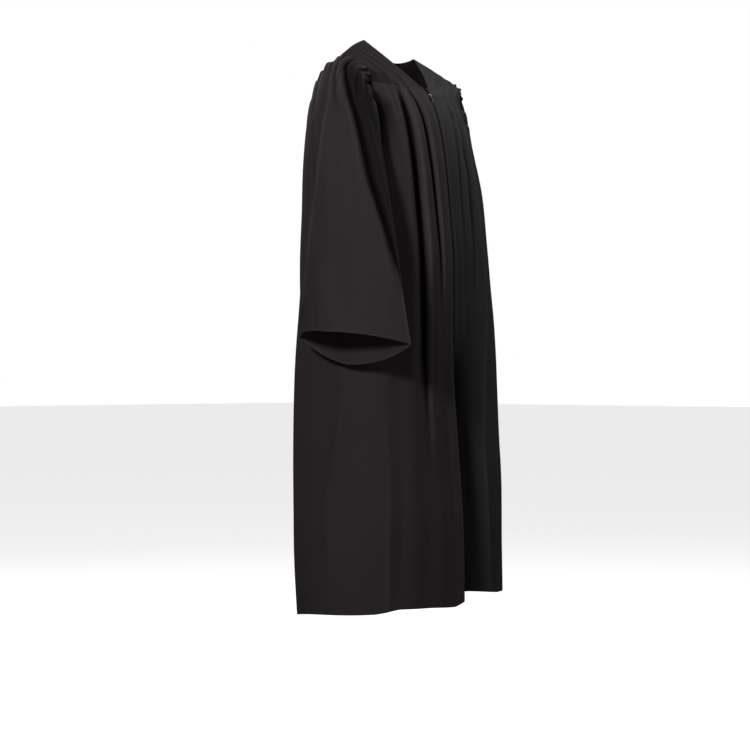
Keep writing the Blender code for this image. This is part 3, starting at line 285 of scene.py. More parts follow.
def phi_of_x(x, z, back, sec=None):
    a, f, b, n = sec or section(z)
    x = np.clip(np.asarray(x, float), 0, a)
    y = np.where(back, b, f) * np.maximum(1 - (x / a) ** n, 0) ** (1 / n)
    return np.where(back, math.pi - np.arctan2(x, y), np.arctan2(x, y))


def fold_profile(kind, d, h, w_in, w_out):
    """Height across a fold, d away from its line (minus towards the centre)."""
    if kind == "soft":
        w = np.where(d < 0, w_in, w_out) * 0.001
        return h * np.exp(-(d / w) ** 2)
    if kind == "crest":
        w = np.where(d < 0, w_in, w_out) * 0.001
        return h * np.exp(-np.sqrt((d / w) ** 2 + 0.01) + 0.1)
    slow = h * np.exp(-(np.maximum(d, 0) / (w_out * 0.001)) ** 2)
    wall = h * np.exp(-(np.minimum(d, 0) / 0.0038) ** 2)
    swell = -0.34 * h * (1 - np.exp(-(np.minimum(d, 0) / 0.0058) ** 2)) * np.exp(-(np.minimum(d, 0) / (w_in * 0.001)) ** 2)
    return np.where(d > 0, slow, wall + swell)


def fold_height(phi, z):
    sec = section(z)
    a, f, b, n = sec
    total = np.zeros(np.broadcast(phi, z).shape)
    side = np.where(phi < 0, -1, 1)
    reach = np.where(np.abs(phi) > math.pi / 2, (a + b) / 2, (a + f) / 2)
    order = FOLD_Z[::-1]
    for s, bk, kind, xs, hs, w_in, w_out in FOLDS:
        centre = phi_of_x(smooth_table(order, xs[::-1], z), z, bool(bk), sec)
        d = (np.abs(phi) - centre) * reach * (-1 if bk else 1)
        h = smooth_table(order, hs[::-1], z) * 0.001
        total += np.where(side == s, fold_profile(kind, d, h, w_in, w_out), 0)
    for s, bk, x, zc, h, hw, hl, lean in DENTS:
        centre = phi_of_x(x + np.tan(math.radians(lean)) * (zc - z), z, bool(bk), sec)
        d = (np.abs(phi) - centre) * reach
        total += np.where(side == s, h * 0.001 * np.exp(-(d / (hw * 0.001)) ** 2 - ((z - zc) / (hl * 0.001)) ** 2), 0)
    return total * ramp(math.radians(0), math.radians(3), np.abs(phi)) ** 0.5


def gather_height(phi, z):
    """Small gathers of the back that start at its yoke."""
    sec = section(z)
    reach = (sec[0] + sec[2]) / 2
    down = YOKE_BACK_Z - YOKE_GAP - z
    total = np.zeros(np.broadcast(phi, z).shape)
    for s, x, run, lean, h, w in GATHERS:
        xc = x + lean * np.clip(down / run, 0, 1.5)
        centre = phi_of_x(xc, z, True, sec)
        d = (np.abs(phi) - centre) * reach
        amp = h * 0.001 * ramp(-0.0005, 0.012, down) * np.exp(-(np.maximum(down, 0) / run) ** 2 * 2.2)
        wid = w * 0.001 * (1 + 1.1 * np.clip(down / run, 0, 1))
        total += np.where(np.where(phi < 0, -1, 1) == s, amp * np.exp(-(d / wid) ** 2), 0)
    return total


def body(phi, z, fine=False):
    phi, z = np.broadcast_arrays(np.asarray(phi, float), np.asarray(z, float))
    a, f, b, n = section(z)
    s, c = np.sin(phi), np.cos(phi)
    depth = np.where(c > 0, f, b)
    r = ((np.abs(s) / a) ** n + (np.abs(c) / depth) ** n) ** (-1 / n)
    x, y = r * s, -r * c
    nx = np.sign(x) * (np.abs(x) / a) ** (n - 1) / a
    ny = np.sign(y) * (np.abs(y) / depth) ** (n - 1) / depth
    q = np.hypot(nx, ny)
    h = fold_height(phi, z)
    if fine:
        h = h + gather_height(phi, z)
    free = ramp(ZIP_END_Z, -0.86, z)
    h = h - SET_BACK * free * np.where(phi >= 0, 1, 0) * ramp(0.55, 0.0, np.abs(phi))
    h = h + STAND_OUT * free * np.where(phi < 0, 1, 0) * ramp(0.30, 0.0, np.abs(phi))
    return np.stack([x + h * nx / q, y + h * ny / q, z], -1)


def hem_z(phi):
    deg = np.degrees(phi)
    return np.where(np.asarray(phi) < 0, smooth_table(HEM_RIGHT["deg"], HEM_RIGHT["z"], deg),
                    smooth_table(HEM_LEFT["deg"], HEM_LEFT["z"], deg))


def skirt_z(share, phi):
    z = UNDERARM_Z + share * (HEM_MEAN - UNDERARM_Z)
    return z + (hem_z(phi) - HEM_MEAN) * np.clip((share - 0.40) / 0.60, 0.0, 1.0)


def arm_phi(z, back):
    table = ARM_BACK if back else ARM_FRONT
    y = smooth_table(table["z"], table["y"], z)
    a, f, b, n = section(z)
    x = a * np.maximum(1 - (y / (b if back else f)) ** n, 0) ** (1 / n)
    return math.pi - np.arctan2(x, y) if back else np.arctan2(x, y)


def pose(p):
    """The right shoulder held higher, the left one drawn in a little and its neck slipped down."""
    p = np.array(p, float)
    p[..., 2] -= TILT * p[..., 0] * ramp(-0.45, -0.05, p[..., 2])
    p[..., 0] -= DRAWN_IN * ramp(0.08, 0.165, p[..., 0]) * ramp(-0.34, -0.15, p[..., 2])
    p[..., 0] += HIP_OUT * ramp(0.05, 0.14, p[..., 0]) * ramp(-0.38, -0.58, p[..., 2]) * ramp(-1.02, -0.84, p[..., 2])
    slip = ramp(0.0, 0.062, p[..., 0]) * ramp(0.165, 0.085, p[..., 0]) * ramp(-0.10, -0.015, p[..., 2])
    p[..., 0] += 0.42 * SLIPPED * slip
    p[..., 2] -= SLIPPED * slip
    return p


def curve(points, t):
    pts = np.asarray(points, float)
    s = np.concatenate([[0], np.cumsum(np.linalg.norm(np.diff(pts, axis=0), axis=1))])
    return np.stack([smooth_table(s / s[-1], pts[:, k], t) for k in range(3)], -1)


def normals(p, cyclic=False):
    dr = np.gradient(p, axis=0)
    if cyclic:
        dc = (np.roll(p, -1, axis=1) - np.roll(p, 1, axis=1)) / 2
    else:
        dc = np.gradient(p, axis=1)
    n = np.cross(dc, dr)
    return n / np.maximum(np.linalg.norm(n, axis=-1, keepdims=True), 1e-12)


def even(n, cyclic=False, times=1):
    for _ in range(times):
        m = n.copy()
        if cyclic:
            m += 0.5 * (np.roll(n, 1, axis=1) + np.roll(n, -1, axis=1))
        else:
            m[:, 1:-1] += 0.5 * (n[:, :-2] + n[:, 2:])
        k = m.copy()
        k[1:-1] += 0.5 * (m[:-2] + m[2:])
        n = k / np.linalg.norm(k, axis=-1, keepdims=True)
    return n


def arm_levels(back, count):
    """Heights down an armhole's edge at even distances along it."""
    top = (YOKE_BACK_Z if back else YOKE_FRONT_Z) - YOKE_GAP
    z = np.linspace(top, UNDERARM_Z, 1600)
    p = body(arm_phi(z, back), z)
    s = np.concatenate([[0], np.cumsum(np.linalg.norm(np.diff(p, axis=0), axis=1))])
    return np.interp(np.linspace(0, s[-1], count), s, z)


def edge_x(z):
    return EDGE + (NOTCH_HALF - EDGE) * ramp(NOTCH_END_Z, -0.112, z)


def graded(a, b, count, ease):
    """count steps from a to b, closer together at the ends by ease (0 even)."""
    t = np.linspace(0, 1, count + 1)[1:]
    t = t - ease * np.sin(2 * math.pi * t) / (2 * math.pi)
    return [a + (b - a) * v for v in t]


def front_grid(side):
    """Points of a front."""
    rows = [("arm", z) for z in arm_levels(False, ARM_ROWS)] + [("skirt", t) for t in np.linspace(0, 1, SKIRT_ROWS + 1)[1:]]
    lines = [f for f in FOLDS if f[0] == side and not f[1] and f[2] == "knife"]
    fold1, fold2 = lines[0], lines[1]
    all_phi, all_z, order = [], [], FOLD_Z[::-1]
    for kind, v in rows:
        z0 = v if kind == "arm" else UNDERARM_Z + v * (HEM_MEAN - UNDERARM_Z)
        x2 = float(smooth_table(order, fold2[3][::-1], z0))
        x1 = float(smooth_table(order, fold1[3][::-1], z0))
        end = float(arm_phi(z0, False)) if kind == "arm" else math.pi / 2
        a = float(section(z0)[0])
        ex = float(edge_x(z0))
        marks = [float(phi_of_x(x, z0, False)) for x in (ex, x2, (x1 + x2) / 2, x1, x1 + 0.030)] + [end]
        marks[-1] = end - GAP / 2 / a
        phi = [marks[0]]
        for k, c in enumerate(FRONT_COUNTS):
            phi += graded(marks[k], marks[k + 1], c, 0.35 if k < 4 else 0.0)
        phi = side * np.array(phi)
        all_phi.append(phi)
        all_z.append(np.full_like(phi, v) if kind == "arm" else skirt_z(v, phi))
    return body(np.array(all_phi), np.array(all_z))


def back_grid():
    all_phi, all_z = [], []
    rows = [("arm", z) for z in arm_levels(True, ARM_ROWS)] + [("skirt", t) for t in np.linspace(0, 1, SKIRT_ROWS + 1)[1:]]
    for kind, v in rows:
        z0 = v if kind == "arm" else UNDERARM_Z + v * (HEM_MEAN - UNDERARM_Z)
        end = float(arm_phi(z0, True)) if kind == "arm" else math.pi / 2
        end += GAP / 2 / float(section(z0)[0])
        t = np.linspace(-1, 1, BACK_COLS + 1)
        phi = math.pi + t * (math.pi - end)
        phi = np.where(phi > math.pi, phi - 2 * math.pi, phi)
        all_phi.append(phi)
        all_z.append(np.full_like(phi, v) if kind == "arm" else skirt_z(v, phi))
    return body(np.array(all_phi), np.array(all_z), fine=True)


# ---------------------------------------------------------------- yokes
def patch(top, bottom, left, right):
    top, bottom, left, right = (np.asarray(e, float) for e in (top, bottom, left, right))
    r, c = len(left), len(top)
    u = np.linspace(0, 1, c)[None, :, None]
    s = np.concatenate([[0], np.cumsum(np.linalg.norm(np.diff(right, axis=0), axis=1))])
    v = (s / s[-1])[:, None, None]
    ruled_v = (1 - v) * top[None] + v * bottom[None]
    ruled_u = (1 - u) * left[:, None] + u * right[:, None]
    corners = ((1 - u) * (1 - v) * top[0] + u * (1 - v) * top[-1] + (1 - u) * v * bottom[0] + u * v * bottom[-1])
    return ruled_v + ruled_u - corners


def sided(points, side):
    p = np.array(points, float)
    p[..., 0] *= side
    return p


def front_yoke_grid(cols=61, rows=YOKE_ROWS, side=1):
    t = np.linspace(0, 1, rows + 1)
    z = YOKE_FRONT_Z
    x0, x1 = NOTCH_HALF, YOKE_FRONT_W
    bottom = body(side * phi_of_x(np.linspace(x0, x1, cols), z, False), z)
    bottom[:, 0] *= side
    right = curve(YOKE_ARM_FRONT + [tuple(bottom[-1])], t)
    neck = np.array(SHOULDER_NECK)
    left = neck + (bottom[0] - neck) * t[:, None]
    left[:, 1] -= 0.004 * np.sin(math.pi * t)
    left[:, 0] += 0.002 * np.sin(math.pi * t)
    s = np.linspace(0, 1, cols)
    top = neck + (np.array(SHOULDER_END) - neck) * s[:, None]
    top[:, 2] += 0.005 * np.sin(math.pi * s)
    return patch(top, bottom, left, right)


def back_yoke_grid(nape_cols=24, seam_cols=44, rows=YOKE_ROWS):
    half = nape_cols + seam_cols
    t = np.linspace(0, 1, rows)
    z = YOKE_BACK_Z
    x1 = YOKE_BACK_W
    xs = np.linspace(-x1, x1, 2 * half + 1)
    bottom = body(np.copysign(phi_of_x(np.abs(xs), z, True), xs), z)
    right = curve(YOKE_ARM_BACK + [tuple(bottom[-1])], t)
    left = curve(YOKE_ARM_BACK + [tuple(sided(bottom[0], -1))], t)
    neck, end = np.array(SHOULDER_NECK), np.array(SHOULDER_END)
    s = np.linspace(0, 1, seam_cols + 1)
    seam = neck + (end - neck) * s[:, None]
    seam[:, 2] += 0.005 * np.sin(math.pi * s)
    q = np.linspace(0, 1, nape_cols + 1) * math.pi / 2
    nape = np.stack([neck[0] * np.sin(q), neck[1] + (BACK_NECK[1] - neck[1]) * np.cos(q),
                     neck[2] + (BACK_NECK[2] - neck[2]) * np.cos(q)], -1)
    half_top = np.concatenate([nape, seam[1:]])
    top = np.concatenate([sided(half_top[1:], -1)[::-1], half_top])
    return patch(top, bottom, sided(left, -1), right)


def dented(grid, dents, n):
    """A yoke with its soft dents, which fade towards its edges."""
    rows, cols = grid.shape[:2]
    u = np.linspace(0, 1, cols)[None]
    v = np.linspace(0, 1, rows)[:, None]
    h = np.zeros((rows, cols))
    for uc, vc, height, hw, hl, lean in dents:
        ul = uc + math.tan(math.radians(lean)) * (v - vc)
        h += height * 0.001 * np.exp(-((u - ul) / hw) ** 2 - ((v - vc) / hl) ** 2)
    h *= ramp(0, 0.12, u) * ramp(1, 0.90, u) * ramp(0, 0.12, v) * ramp(1, 0.86, v)
    return grid + n * h[..., None]


# ---------------------------------------------------------------- sleeves
def armhole(side=1):
    """Points round an armhole, the direction in which the cloth leaves the body, and the share of the way round."""
    yoke = front_yoke_grid(61, 78, side)
    front_pts = [yoke[i, -1] for i in range(78)]
    front_dir = [yoke[i, -1] - yoke[i, -7] for i in range(78)]
    z = arm_levels(False, 74)
    p = arm_phi(z, False)
    q = sided(body(side * p, z), side)
    front_dir += list(q - sided(body(side * (p - 0.03), z), side))
    front_pts += list(q)
    back = back_yoke_grid(24, 44, 72)
    back = back if side > 0 else sided(back, -1)[:, ::-1]
    back_pts = [back[i, -1] for i in range(1, 71)]
    back_dir = [back[i, -1] - back[i, -6] for i in range(1, 71)]
    z = arm_levels(True, 66)[:-1]
    p = arm_phi(z, True)
    q = sided(body(side * p, z), side)
    back_dir += list(q - sided(body(side * (p + 0.03), z), side))
    back_pts += list(q)
    pts = np.array(front_pts + back_pts[::-1])
    dirs = np.array(front_dir + back_dir[::-1])
    dirs /= np.linalg.norm(dirs, axis=1, keepdims=True)
    low = ramp(-0.10, -0.20, pts[:, 2])[:, None]
    out = np.array([0.95, 0.0, -0.30]) + np.array([0.0, 0.25, 0.0]) * np.tanh(pts[:, 1:2] / 0.02)
    dirs = dirs * (1 - low) + out * low
    for _ in range(3):
        dirs = dirs + 0.5 * (np.roll(dirs, 1, axis=0) + np.roll(dirs, -1, axis=0))
        dirs /= np.linalg.norm(dirs, axis=1, keepdims=True)
    n = len(front_pts) - 1
    seg = np.linalg.norm(np.diff(np.vstack([pts, pts[:1]]), axis=0), axis=1)
    s = np.concatenate([[0], np.cumsum(seg)])
    share = np.where(np.arange(len(pts)) <= n, 0.5 * s[:-1] / s[n], 0.5 + 0.5 * (s[:-1] - s[n]) / (s[-1] - s[n]))
    return pts, dirs, share


def ring(row, theta):
    out, front, inner, rear, sharp = row
    out, front, inner, rear = (np.array(v) for v in (out, front, inner, rear))
    c = (out + inner) / 4 + (front + rear) / 4
    cs, sn = np.cos(theta)[:, None], np.sin(theta)[:, None]
    sn = (1 - sharp) * sn + sharp * 2 / math.pi * np.arcsin(np.clip(sn, -1, 1))
    def bend(v):
        return np.sqrt(v * v + 0.01) - 0.1 * (1 - np.abs(v))
    return (c + cs * (out - inner) / 2 + bend(cs) * ((out + inner) / 2 - c)
            + sn * (front - rear) / 2 + bend(sn) * ((front + rear) / 2 - c))


def spline_rows(rows, levels):
    rows = np.asarray(rows, float)
    n = len(rows)
    out = []
    for v in levels:
        i = min(int(v), n - 2)
        t = v - i
        p0, p1, p2, p3 = rows[max(i - 1, 0)], rows[i], rows[i + 1], rows[min(i + 2, n - 1)]
        m1 = (p2 - p0) / 2 if i > 0 else p2 - p1
        m2 = (p3 - p1) / 2 if i < n - 2 else p2 - p1
        out.append((2 * t ** 3 - 3 * t ** 2 + 1) * p1 + (t ** 3 - 2 * t ** 2 + t) * m1
                   + (3 * t ** 2 - 2 * t ** 3) * p2 + (t ** 3 - t ** 2) * m2)
    return np.array(out)


def keep_clear(grid, levels, side, theta):
    g = grid.copy()
    levels = np.asarray(levels, float)[:, None]
    r = np.hypot(g[..., 0], g[..., 1])
    phi = np.arctan2(g[..., 0], -g[..., 1])
    limit = np.hypot(*np.moveaxis(body(side * phi, g[..., 2])[..., :2], -1, 0))
    need = limit + ramp(0.9, 2.0, levels) * (SLEEVE_CLEAR + 0.005 * ramp(3.5, 2.0, levels)
                                             + SLEEVE_OPEN * np.maximum(np.cos(theta), 0)[None])
    push = np.maximum(need - r, 0)
    push = np.where(push > 0, push, 0) * ramp(0.9, 1.6, levels) * ramp(-0.10, -0.16, g[..., 2])
    g[..., :2] *= (1 + push / r)[..., None]
    return g


def around(theta, centre):
    return (theta - centre + math.pi) % (2 * math.pi) - math.pi


def sleeve_grid(table, levels, side):
    pts, dirs, share = armhole(side)
    theta = 2 * math.pi * share
    rows = [pts + dirs * SEAM, pts + dirs * 0.006]
    rows += [ring(r, theta) for r in table]
    levels = np.asarray(levels, float)
    grid = keep_clear(spline_rows(rows, levels), levels, side, theta)
    n = normals(grid, cyclic=True)
    mid = grid.mean(axis=1, keepdims=True)
    if ((grid - mid) * n).sum() < 0:
        n = -n
    girth = np.linalg.norm(np.roll(grid, -1, axis=1) - grid, axis=-1).sum(axis=1, keepdims=True) / (2 * math.pi)
    lv = levels[:, None]
    h = np.zeros(grid.shape[:2])
    for kind, at, degs, hs, w_before, w_after in (SLEEVE_FOLDS_RIGHT if side < 0 else SLEEVE_FOLDS_LEFT):
        centre = np.radians(smooth_table(at, degs, lv))
        d = around(theta[None], centre) * girth
        w = np.where(d < 0, w_before, w_after) * 0.001
        bump = np.exp(-np.abs(d) / w) if kind == "crease" else np.exp(-(d / w) ** 2)
        h += smooth_table(at, hs, lv) * 0.001 * bump
    h *= ramp(0.0, 0.9, levels)[:, None]
    for deg, fade, lean, height, width in HEAD_GATHERS:
        centre = math.radians(deg) + math.radians(lean) * lv
        d = around(theta[None], centre) * girth
        wid = width * 0.001 * (0.75 + 0.30 * lv)
        h += 1.35 * height * 0.001 * ramp(0.0, 0.7, lv) * ramp(fade, fade * 0.35, lv) * np.exp(-(d / wid) ** 2)
    for deg, row, height, width, length, lean in SLEEVE_DENTS:
        centre = math.radians(deg) + math.radians(lean) * (lv - row)
        d = around(theta[None], centre) * girth
        h += height * 0.001 * np.exp(-(d / (width * 0.001)) ** 2 - ((lv - row) / length) ** 2)
    grid = keep_clear(grid + n * h[..., None], levels, side, theta)
    # the cloth eases round its bends
    for _ in range(2):
        sm = grid.copy()
        sm[2:-1] = grid[2:-1] * 0.5 + 0.125 * (np.roll(grid, 1, axis=1) + np.roll(grid, -1, axis=1))[2:-1] \
            + 0.125 * (grid[1:-2] + grid[3:])
        grid = sm
    # seam allowance tucked in behind the body's cloth
    tangent = np.roll(pts, -1, axis=0) - np.roll(pts, 1, axis=0)
    out = np.cross(dirs, tangent)
    out /= np.linalg.norm(out, axis=1, keepdims=True)
    if (out * (pts - np.array([0.05, 0.01, -0.16]))).sum() < 0:
        out = -out
    tuck = [pts + dirs * 0.0004 - out * 0.0010, pts - dirs * 0.0030 - out * 0.0019, pts - dirs * 0.0075 - out * 0.0021]
    return np.concatenate([np.array(tuck)[::-1], grid]), len(tuck)


# ---------------------------------------------------------------- meshes
def outward(grid, cyclic=False):
    n = normals(grid, cyclic)
    ref = grid.mean(axis=1, keepdims=True) if cyclic else np.array([0.0, 0.02, 0.0]) * np.ones_like(grid)
    ref = np.array(ref)
    if not cyclic:
        ref[..., 2] = grid[..., 2] - 0.05
    if ((grid - ref) * n).sum() < 0:
        n = -n
    return n


def measures(grid, cyclic=False):
    """Distance across and down the cloth at each point, for its weave."""
    du = np.linalg.norm(np.diff(grid, axis=1), axis=-1)
    u = np.concatenate([np.zeros((len(grid), 1)), np.cumsum(du, axis=1)], axis=1)
    u = u - u[:, u.shape[1] // 2][:, None]
    dv = np.linalg.norm(np.diff(grid, axis=0), axis=-1).mean(axis=1)
    v = np.concatenate([[0], np.cumsum(dv)])[:, None] * np.ones(grid.shape[:2])
    return u, v


def hollows(grid, n, cyclic=False, reach=0.017, full=0.0038):
    """How deep each point lies in a fold that runs down the cloth, 0 to 1: its depth below the cloth round it."""
    deep = np.zeros(grid.shape[:2])
    step = 0.002
    kernel = np.exp(-(np.arange(-18, 19) * step / reach) ** 2 / 2)
    kernel /= kernel.sum()
    for i, row in enumerate(grid):
        pts = np.vstack([row, row[:1]]) if cyclic else row
        s = np.concatenate([[0], np.cumsum(np.linalg.norm(np.diff(pts, axis=0), axis=1))])
        count = max(int(s[-1] / step), 24)
        t = np.linspace(0, s[-1], count)
        for k in range(3):
            line = np.interp(t, s, pts[:, k])
            pad = np.pad(line[:-1], 18, mode="wrap") if cyclic else np.pad(line, 18, mode="reflect", reflect_type="odd")
            mean = np.convolve(pad, kernel, mode="valid")
            mean = np.append(mean, mean[0]) if cyclic else mean
            at = np.interp(s, t, mean)
            deep[i] += (at[:len(row)] - row[:, k]) * n[i, :, k]
    return ramp(0.10, 1.0, deep / full)


def add_mesh(name, verts, faces, mat, smooth=True, attributes=None):
    mesh = bpy.data.meshes.new(name)
    mesh.from_pydata([tuple(v) for v in verts], [], faces)
    mesh.validate()
    for key, (kind, values) in (attributes or {}).items():
        layer = mesh.attributes.new(key, kind, "POINT")
        layer.data.foreach_set("vector" if kind == "FLOAT_VECTOR" else "value", np.asarray(values, np.float32).ravel())
    for poly in mesh.polygons:
        poly.use_smooth = smooth
    ob = bpy.data.objects.new(name, mesh)
    ob.data.materials.append(mat)
    bpy.context.scene.collection.objects.link(ob)
    return ob


def add_cloth(name, grid, mat, cyclic=False, normal=None, thick=CLOTH, turn=0.0, seams=None, behind=None):
    """Closed thin shell on a grid of points. turn is the depth of a turned-up hem at its last row, seams how much paler
    each point is made near a seam, and behind how much painted shade darkens it where it lies in under or beside
    another piece (0 to 1)."""
    rows, cols = grid.shape[:2]
    n = outward(grid, cyclic) if normal is None else normal
    n = even(n, cyclic, 2)
    u, v = measures(grid, cyclic)
    inside = np.full((rows, cols), thick / 2)
    if turn:
        left = v[-1:] - v
        inside = inside + 0.0008 * ramp(turn + 0.0016, turn, left)
    outer = pose(grid + n * thick / 2)
    inner = pose(grid - n * inside[..., None])
    off = rows * cols
    verts = np.concatenate([outer.reshape(-1, 3), inner.reshape(-1, 3)])
    span = cols if cyclic else cols - 1
    i, j = np.meshgrid(np.arange(rows - 1), np.arange(span), indexing="ij")
    k = (j + 1) % cols
    a, b, c, d = (i * cols + j).ravel(), (i * cols + k).ravel(), ((i + 1) * cols + k).ravel(), ((i + 1) * cols + j).ravel()
    quads = np.stack([a, b, c, d], 1)
    # make the outer face's normal point along n
    q = outer.reshape(-1, 3)[quads[:: max(1, len(quads) // 400)]]
    nn = np.cross(q[:, 1] - q[:, 0], q[:, 2] - q[:, 0])
    ref = n.reshape(-1, 3)[quads[:: max(1, len(quads) // 400), 0]]
    if (nn * ref).sum() < 0:
        quads = quads[:, ::-1]
        flip = True
    else:
        flip = False
    faces = [tuple(f) for f in quads.tolist()] + [tuple(f) for f in (quads[:, ::-1] + off).tolist()]
    def rim(p, q2):
        f = (p, q2, off + q2, off + p)
        faces.append(f)
    edges = []
    for jj in range(span):
        k2 = (jj + 1) % cols
        edges.append((k2, jj))
        edges.append(((rows - 1) * cols + jj, (rows - 1) * cols + k2))
    if not cyclic:
        for ii in range(rows - 1):
            edges.append((ii * cols, (ii + 1) * cols))
            edges.append(((ii + 1) * cols + cols - 1, ii * cols + cols - 1))
    for p, q2 in edges:
        if flip:
            p, q2 = q2, p
        rim(q2, p)
    grain = np.stack([u, v, np.zeros_like(u)], -1).reshape(-1, 3)
    paler_and_highlight = np.zeros((rows, cols)) if seams is None else seams
    # painted highlight: crisp ridges are made paler, on top of the paler seams and hems
    paler_and_highlight = np.maximum(paler_and_highlight, 0.34 * hollows(grid, -n, cyclic, 0.006, 0.0018))
    # painted shade: points deep in folds, and points the behind mask names, are made darker through the 'deep'
    # attribute
    deep = hollows(grid, n, cyclic)
    if behind is not None:
        deep = 1 - (1 - deep) * (1 - behind)
    attributes = {"grain": ("FLOAT_VECTOR", np.concatenate([grain, grain])),
                  "seam": ("FLOAT", np.concatenate([paler_and_highlight.ravel(), paler_and_highlight.ravel()])),
                  "deep": ("FLOAT", np.concatenate([deep.ravel(), deep.ravel()]))}
    ob = add_mesh(name, verts, faces, mat, True, attributes)
    bm = bmesh.new()
    bm.from_mesh(ob.data)
    bmesh.ops.recalc_face_normals(bm, faces=bm.faces[:])
    if bm.calc_volume(signed=True) < 0:
        bmesh.ops.reverse_faces(bm, faces=bm.faces[:])
    bm.faces.ensure_lookup_table()
    for f in bm.faces[2 * len(quads):]:
        for e in f.edges:
            e.smooth = False
    bm.to_mesh(ob.data)
    bm.free()
    return ob


def under(yoke, panel_row, depth):
    """Rows of a panel's seam allowance, tucked up behind a yoke (both on the same side of the body)."""
    n = outward(yoke)
    flat, m = yoke[-9:], n[-9:]
    rows = []
    for back_rows, dip in ((5, depth), (3, depth), (1, depth * 0.9)):
        g, w = flat[-1 - back_rows], m[-1 - back_rows]
        order = np.argsort(g[:, 0])
        rows.append(np.stack([np.interp(panel_row[:, 0], g[order, 0], (g - w * dip)[order, k]) for k in range(3)], -1))
        rows[-1][:, 0] = panel_row[:, 0]
    return rows


def along(points, step):
    """Points at even distances along a line."""
    s = np.concatenate([[0], np.cumsum(np.linalg.norm(np.diff(points, axis=0), axis=1))])
    t = np.arange(step * 0.6, s[-1] - step * 0.4, step)
    return np.stack([np.interp(t, s, points[:, k]) for k in range(3)], -1)


def add_stitches(name, lines, mat, pitch=0.0030, length=0.0021, width=0.00042, high=0.00030):
    """Rows of machine stitches. Each line is (points, normals) on the cloth's outer face."""
    verts, faces = [], []
    for pts, nrm in lines:
        p0 = along(pts, pitch)
        s = np.concatenate([[0], np.cumsum(np.linalg.norm(np.diff(pts, axis=0), axis=1))])
        t = np.arange(pitch * 0.6, s[-1] - pitch * 0.4, pitch)
        nn = np.stack([np.interp(t, s, nrm[:, k]) for k in range(3)], -1)
        nn /= np.linalg.norm(nn, axis=1, keepdims=True)
        tan = np.gradient(p0, axis=0)
        tan /= np.linalg.norm(tan, axis=1, keepdims=True)
        wide = np.cross(nn, tan)
        for p, d, w, up in zip(p0, tan, wide, nn):
            base = len(verts)
            for f, sw, lift in ((-0.5, 0.45, 0.15), (-0.28, 1.0, 0.95), (0.28, 1.0, 0.95), (0.5, 0.45, 0.15)):
                c = p + d * length * f
                verts += [c + w * width / 2 * sw - up * 0.0002, c + w * width / 2 * sw * 0.7 + up * high * lift,
                          c - w * width / 2 * sw * 0.7 + up * high * lift, c - w * width / 2 * sw - up * 0.0002]
            for r in range(3):
                for e in range(4):
                    a, b = base + r * 4 + e, base + r * 4 + (e + 1) % 4
                    faces.append((a, a + 4, b + 4, b))
            faces.append(tuple(base + e for e in range(4)))
            faces.append(tuple(base + 12 + e for e in range(4))[::-1])
    ob = add_mesh(name, verts, faces, mat, True)
    bm = bmesh.new()
    bm.from_mesh(ob.data)
    bmesh.ops.recalc_face_normals(bm, faces=bm.faces[:])
    bm.to_mesh(ob.data)
    bm.free()
    return ob


# ---------------------------------------------------------------- materials
def nodes_of(name):
    mat = bpy.data.materials.new(name)
    mat.use_nodes = True
    tree = mat.node_tree
    tree.nodes.clear()
    out = tree.nodes.new("ShaderNodeOutputMaterial")
    shader = tree.nodes.new("ShaderNodeBsdfPrincipled")
    tree.links.new(shader.outputs[0], out.inputs[0])
    return mat, tree, shader


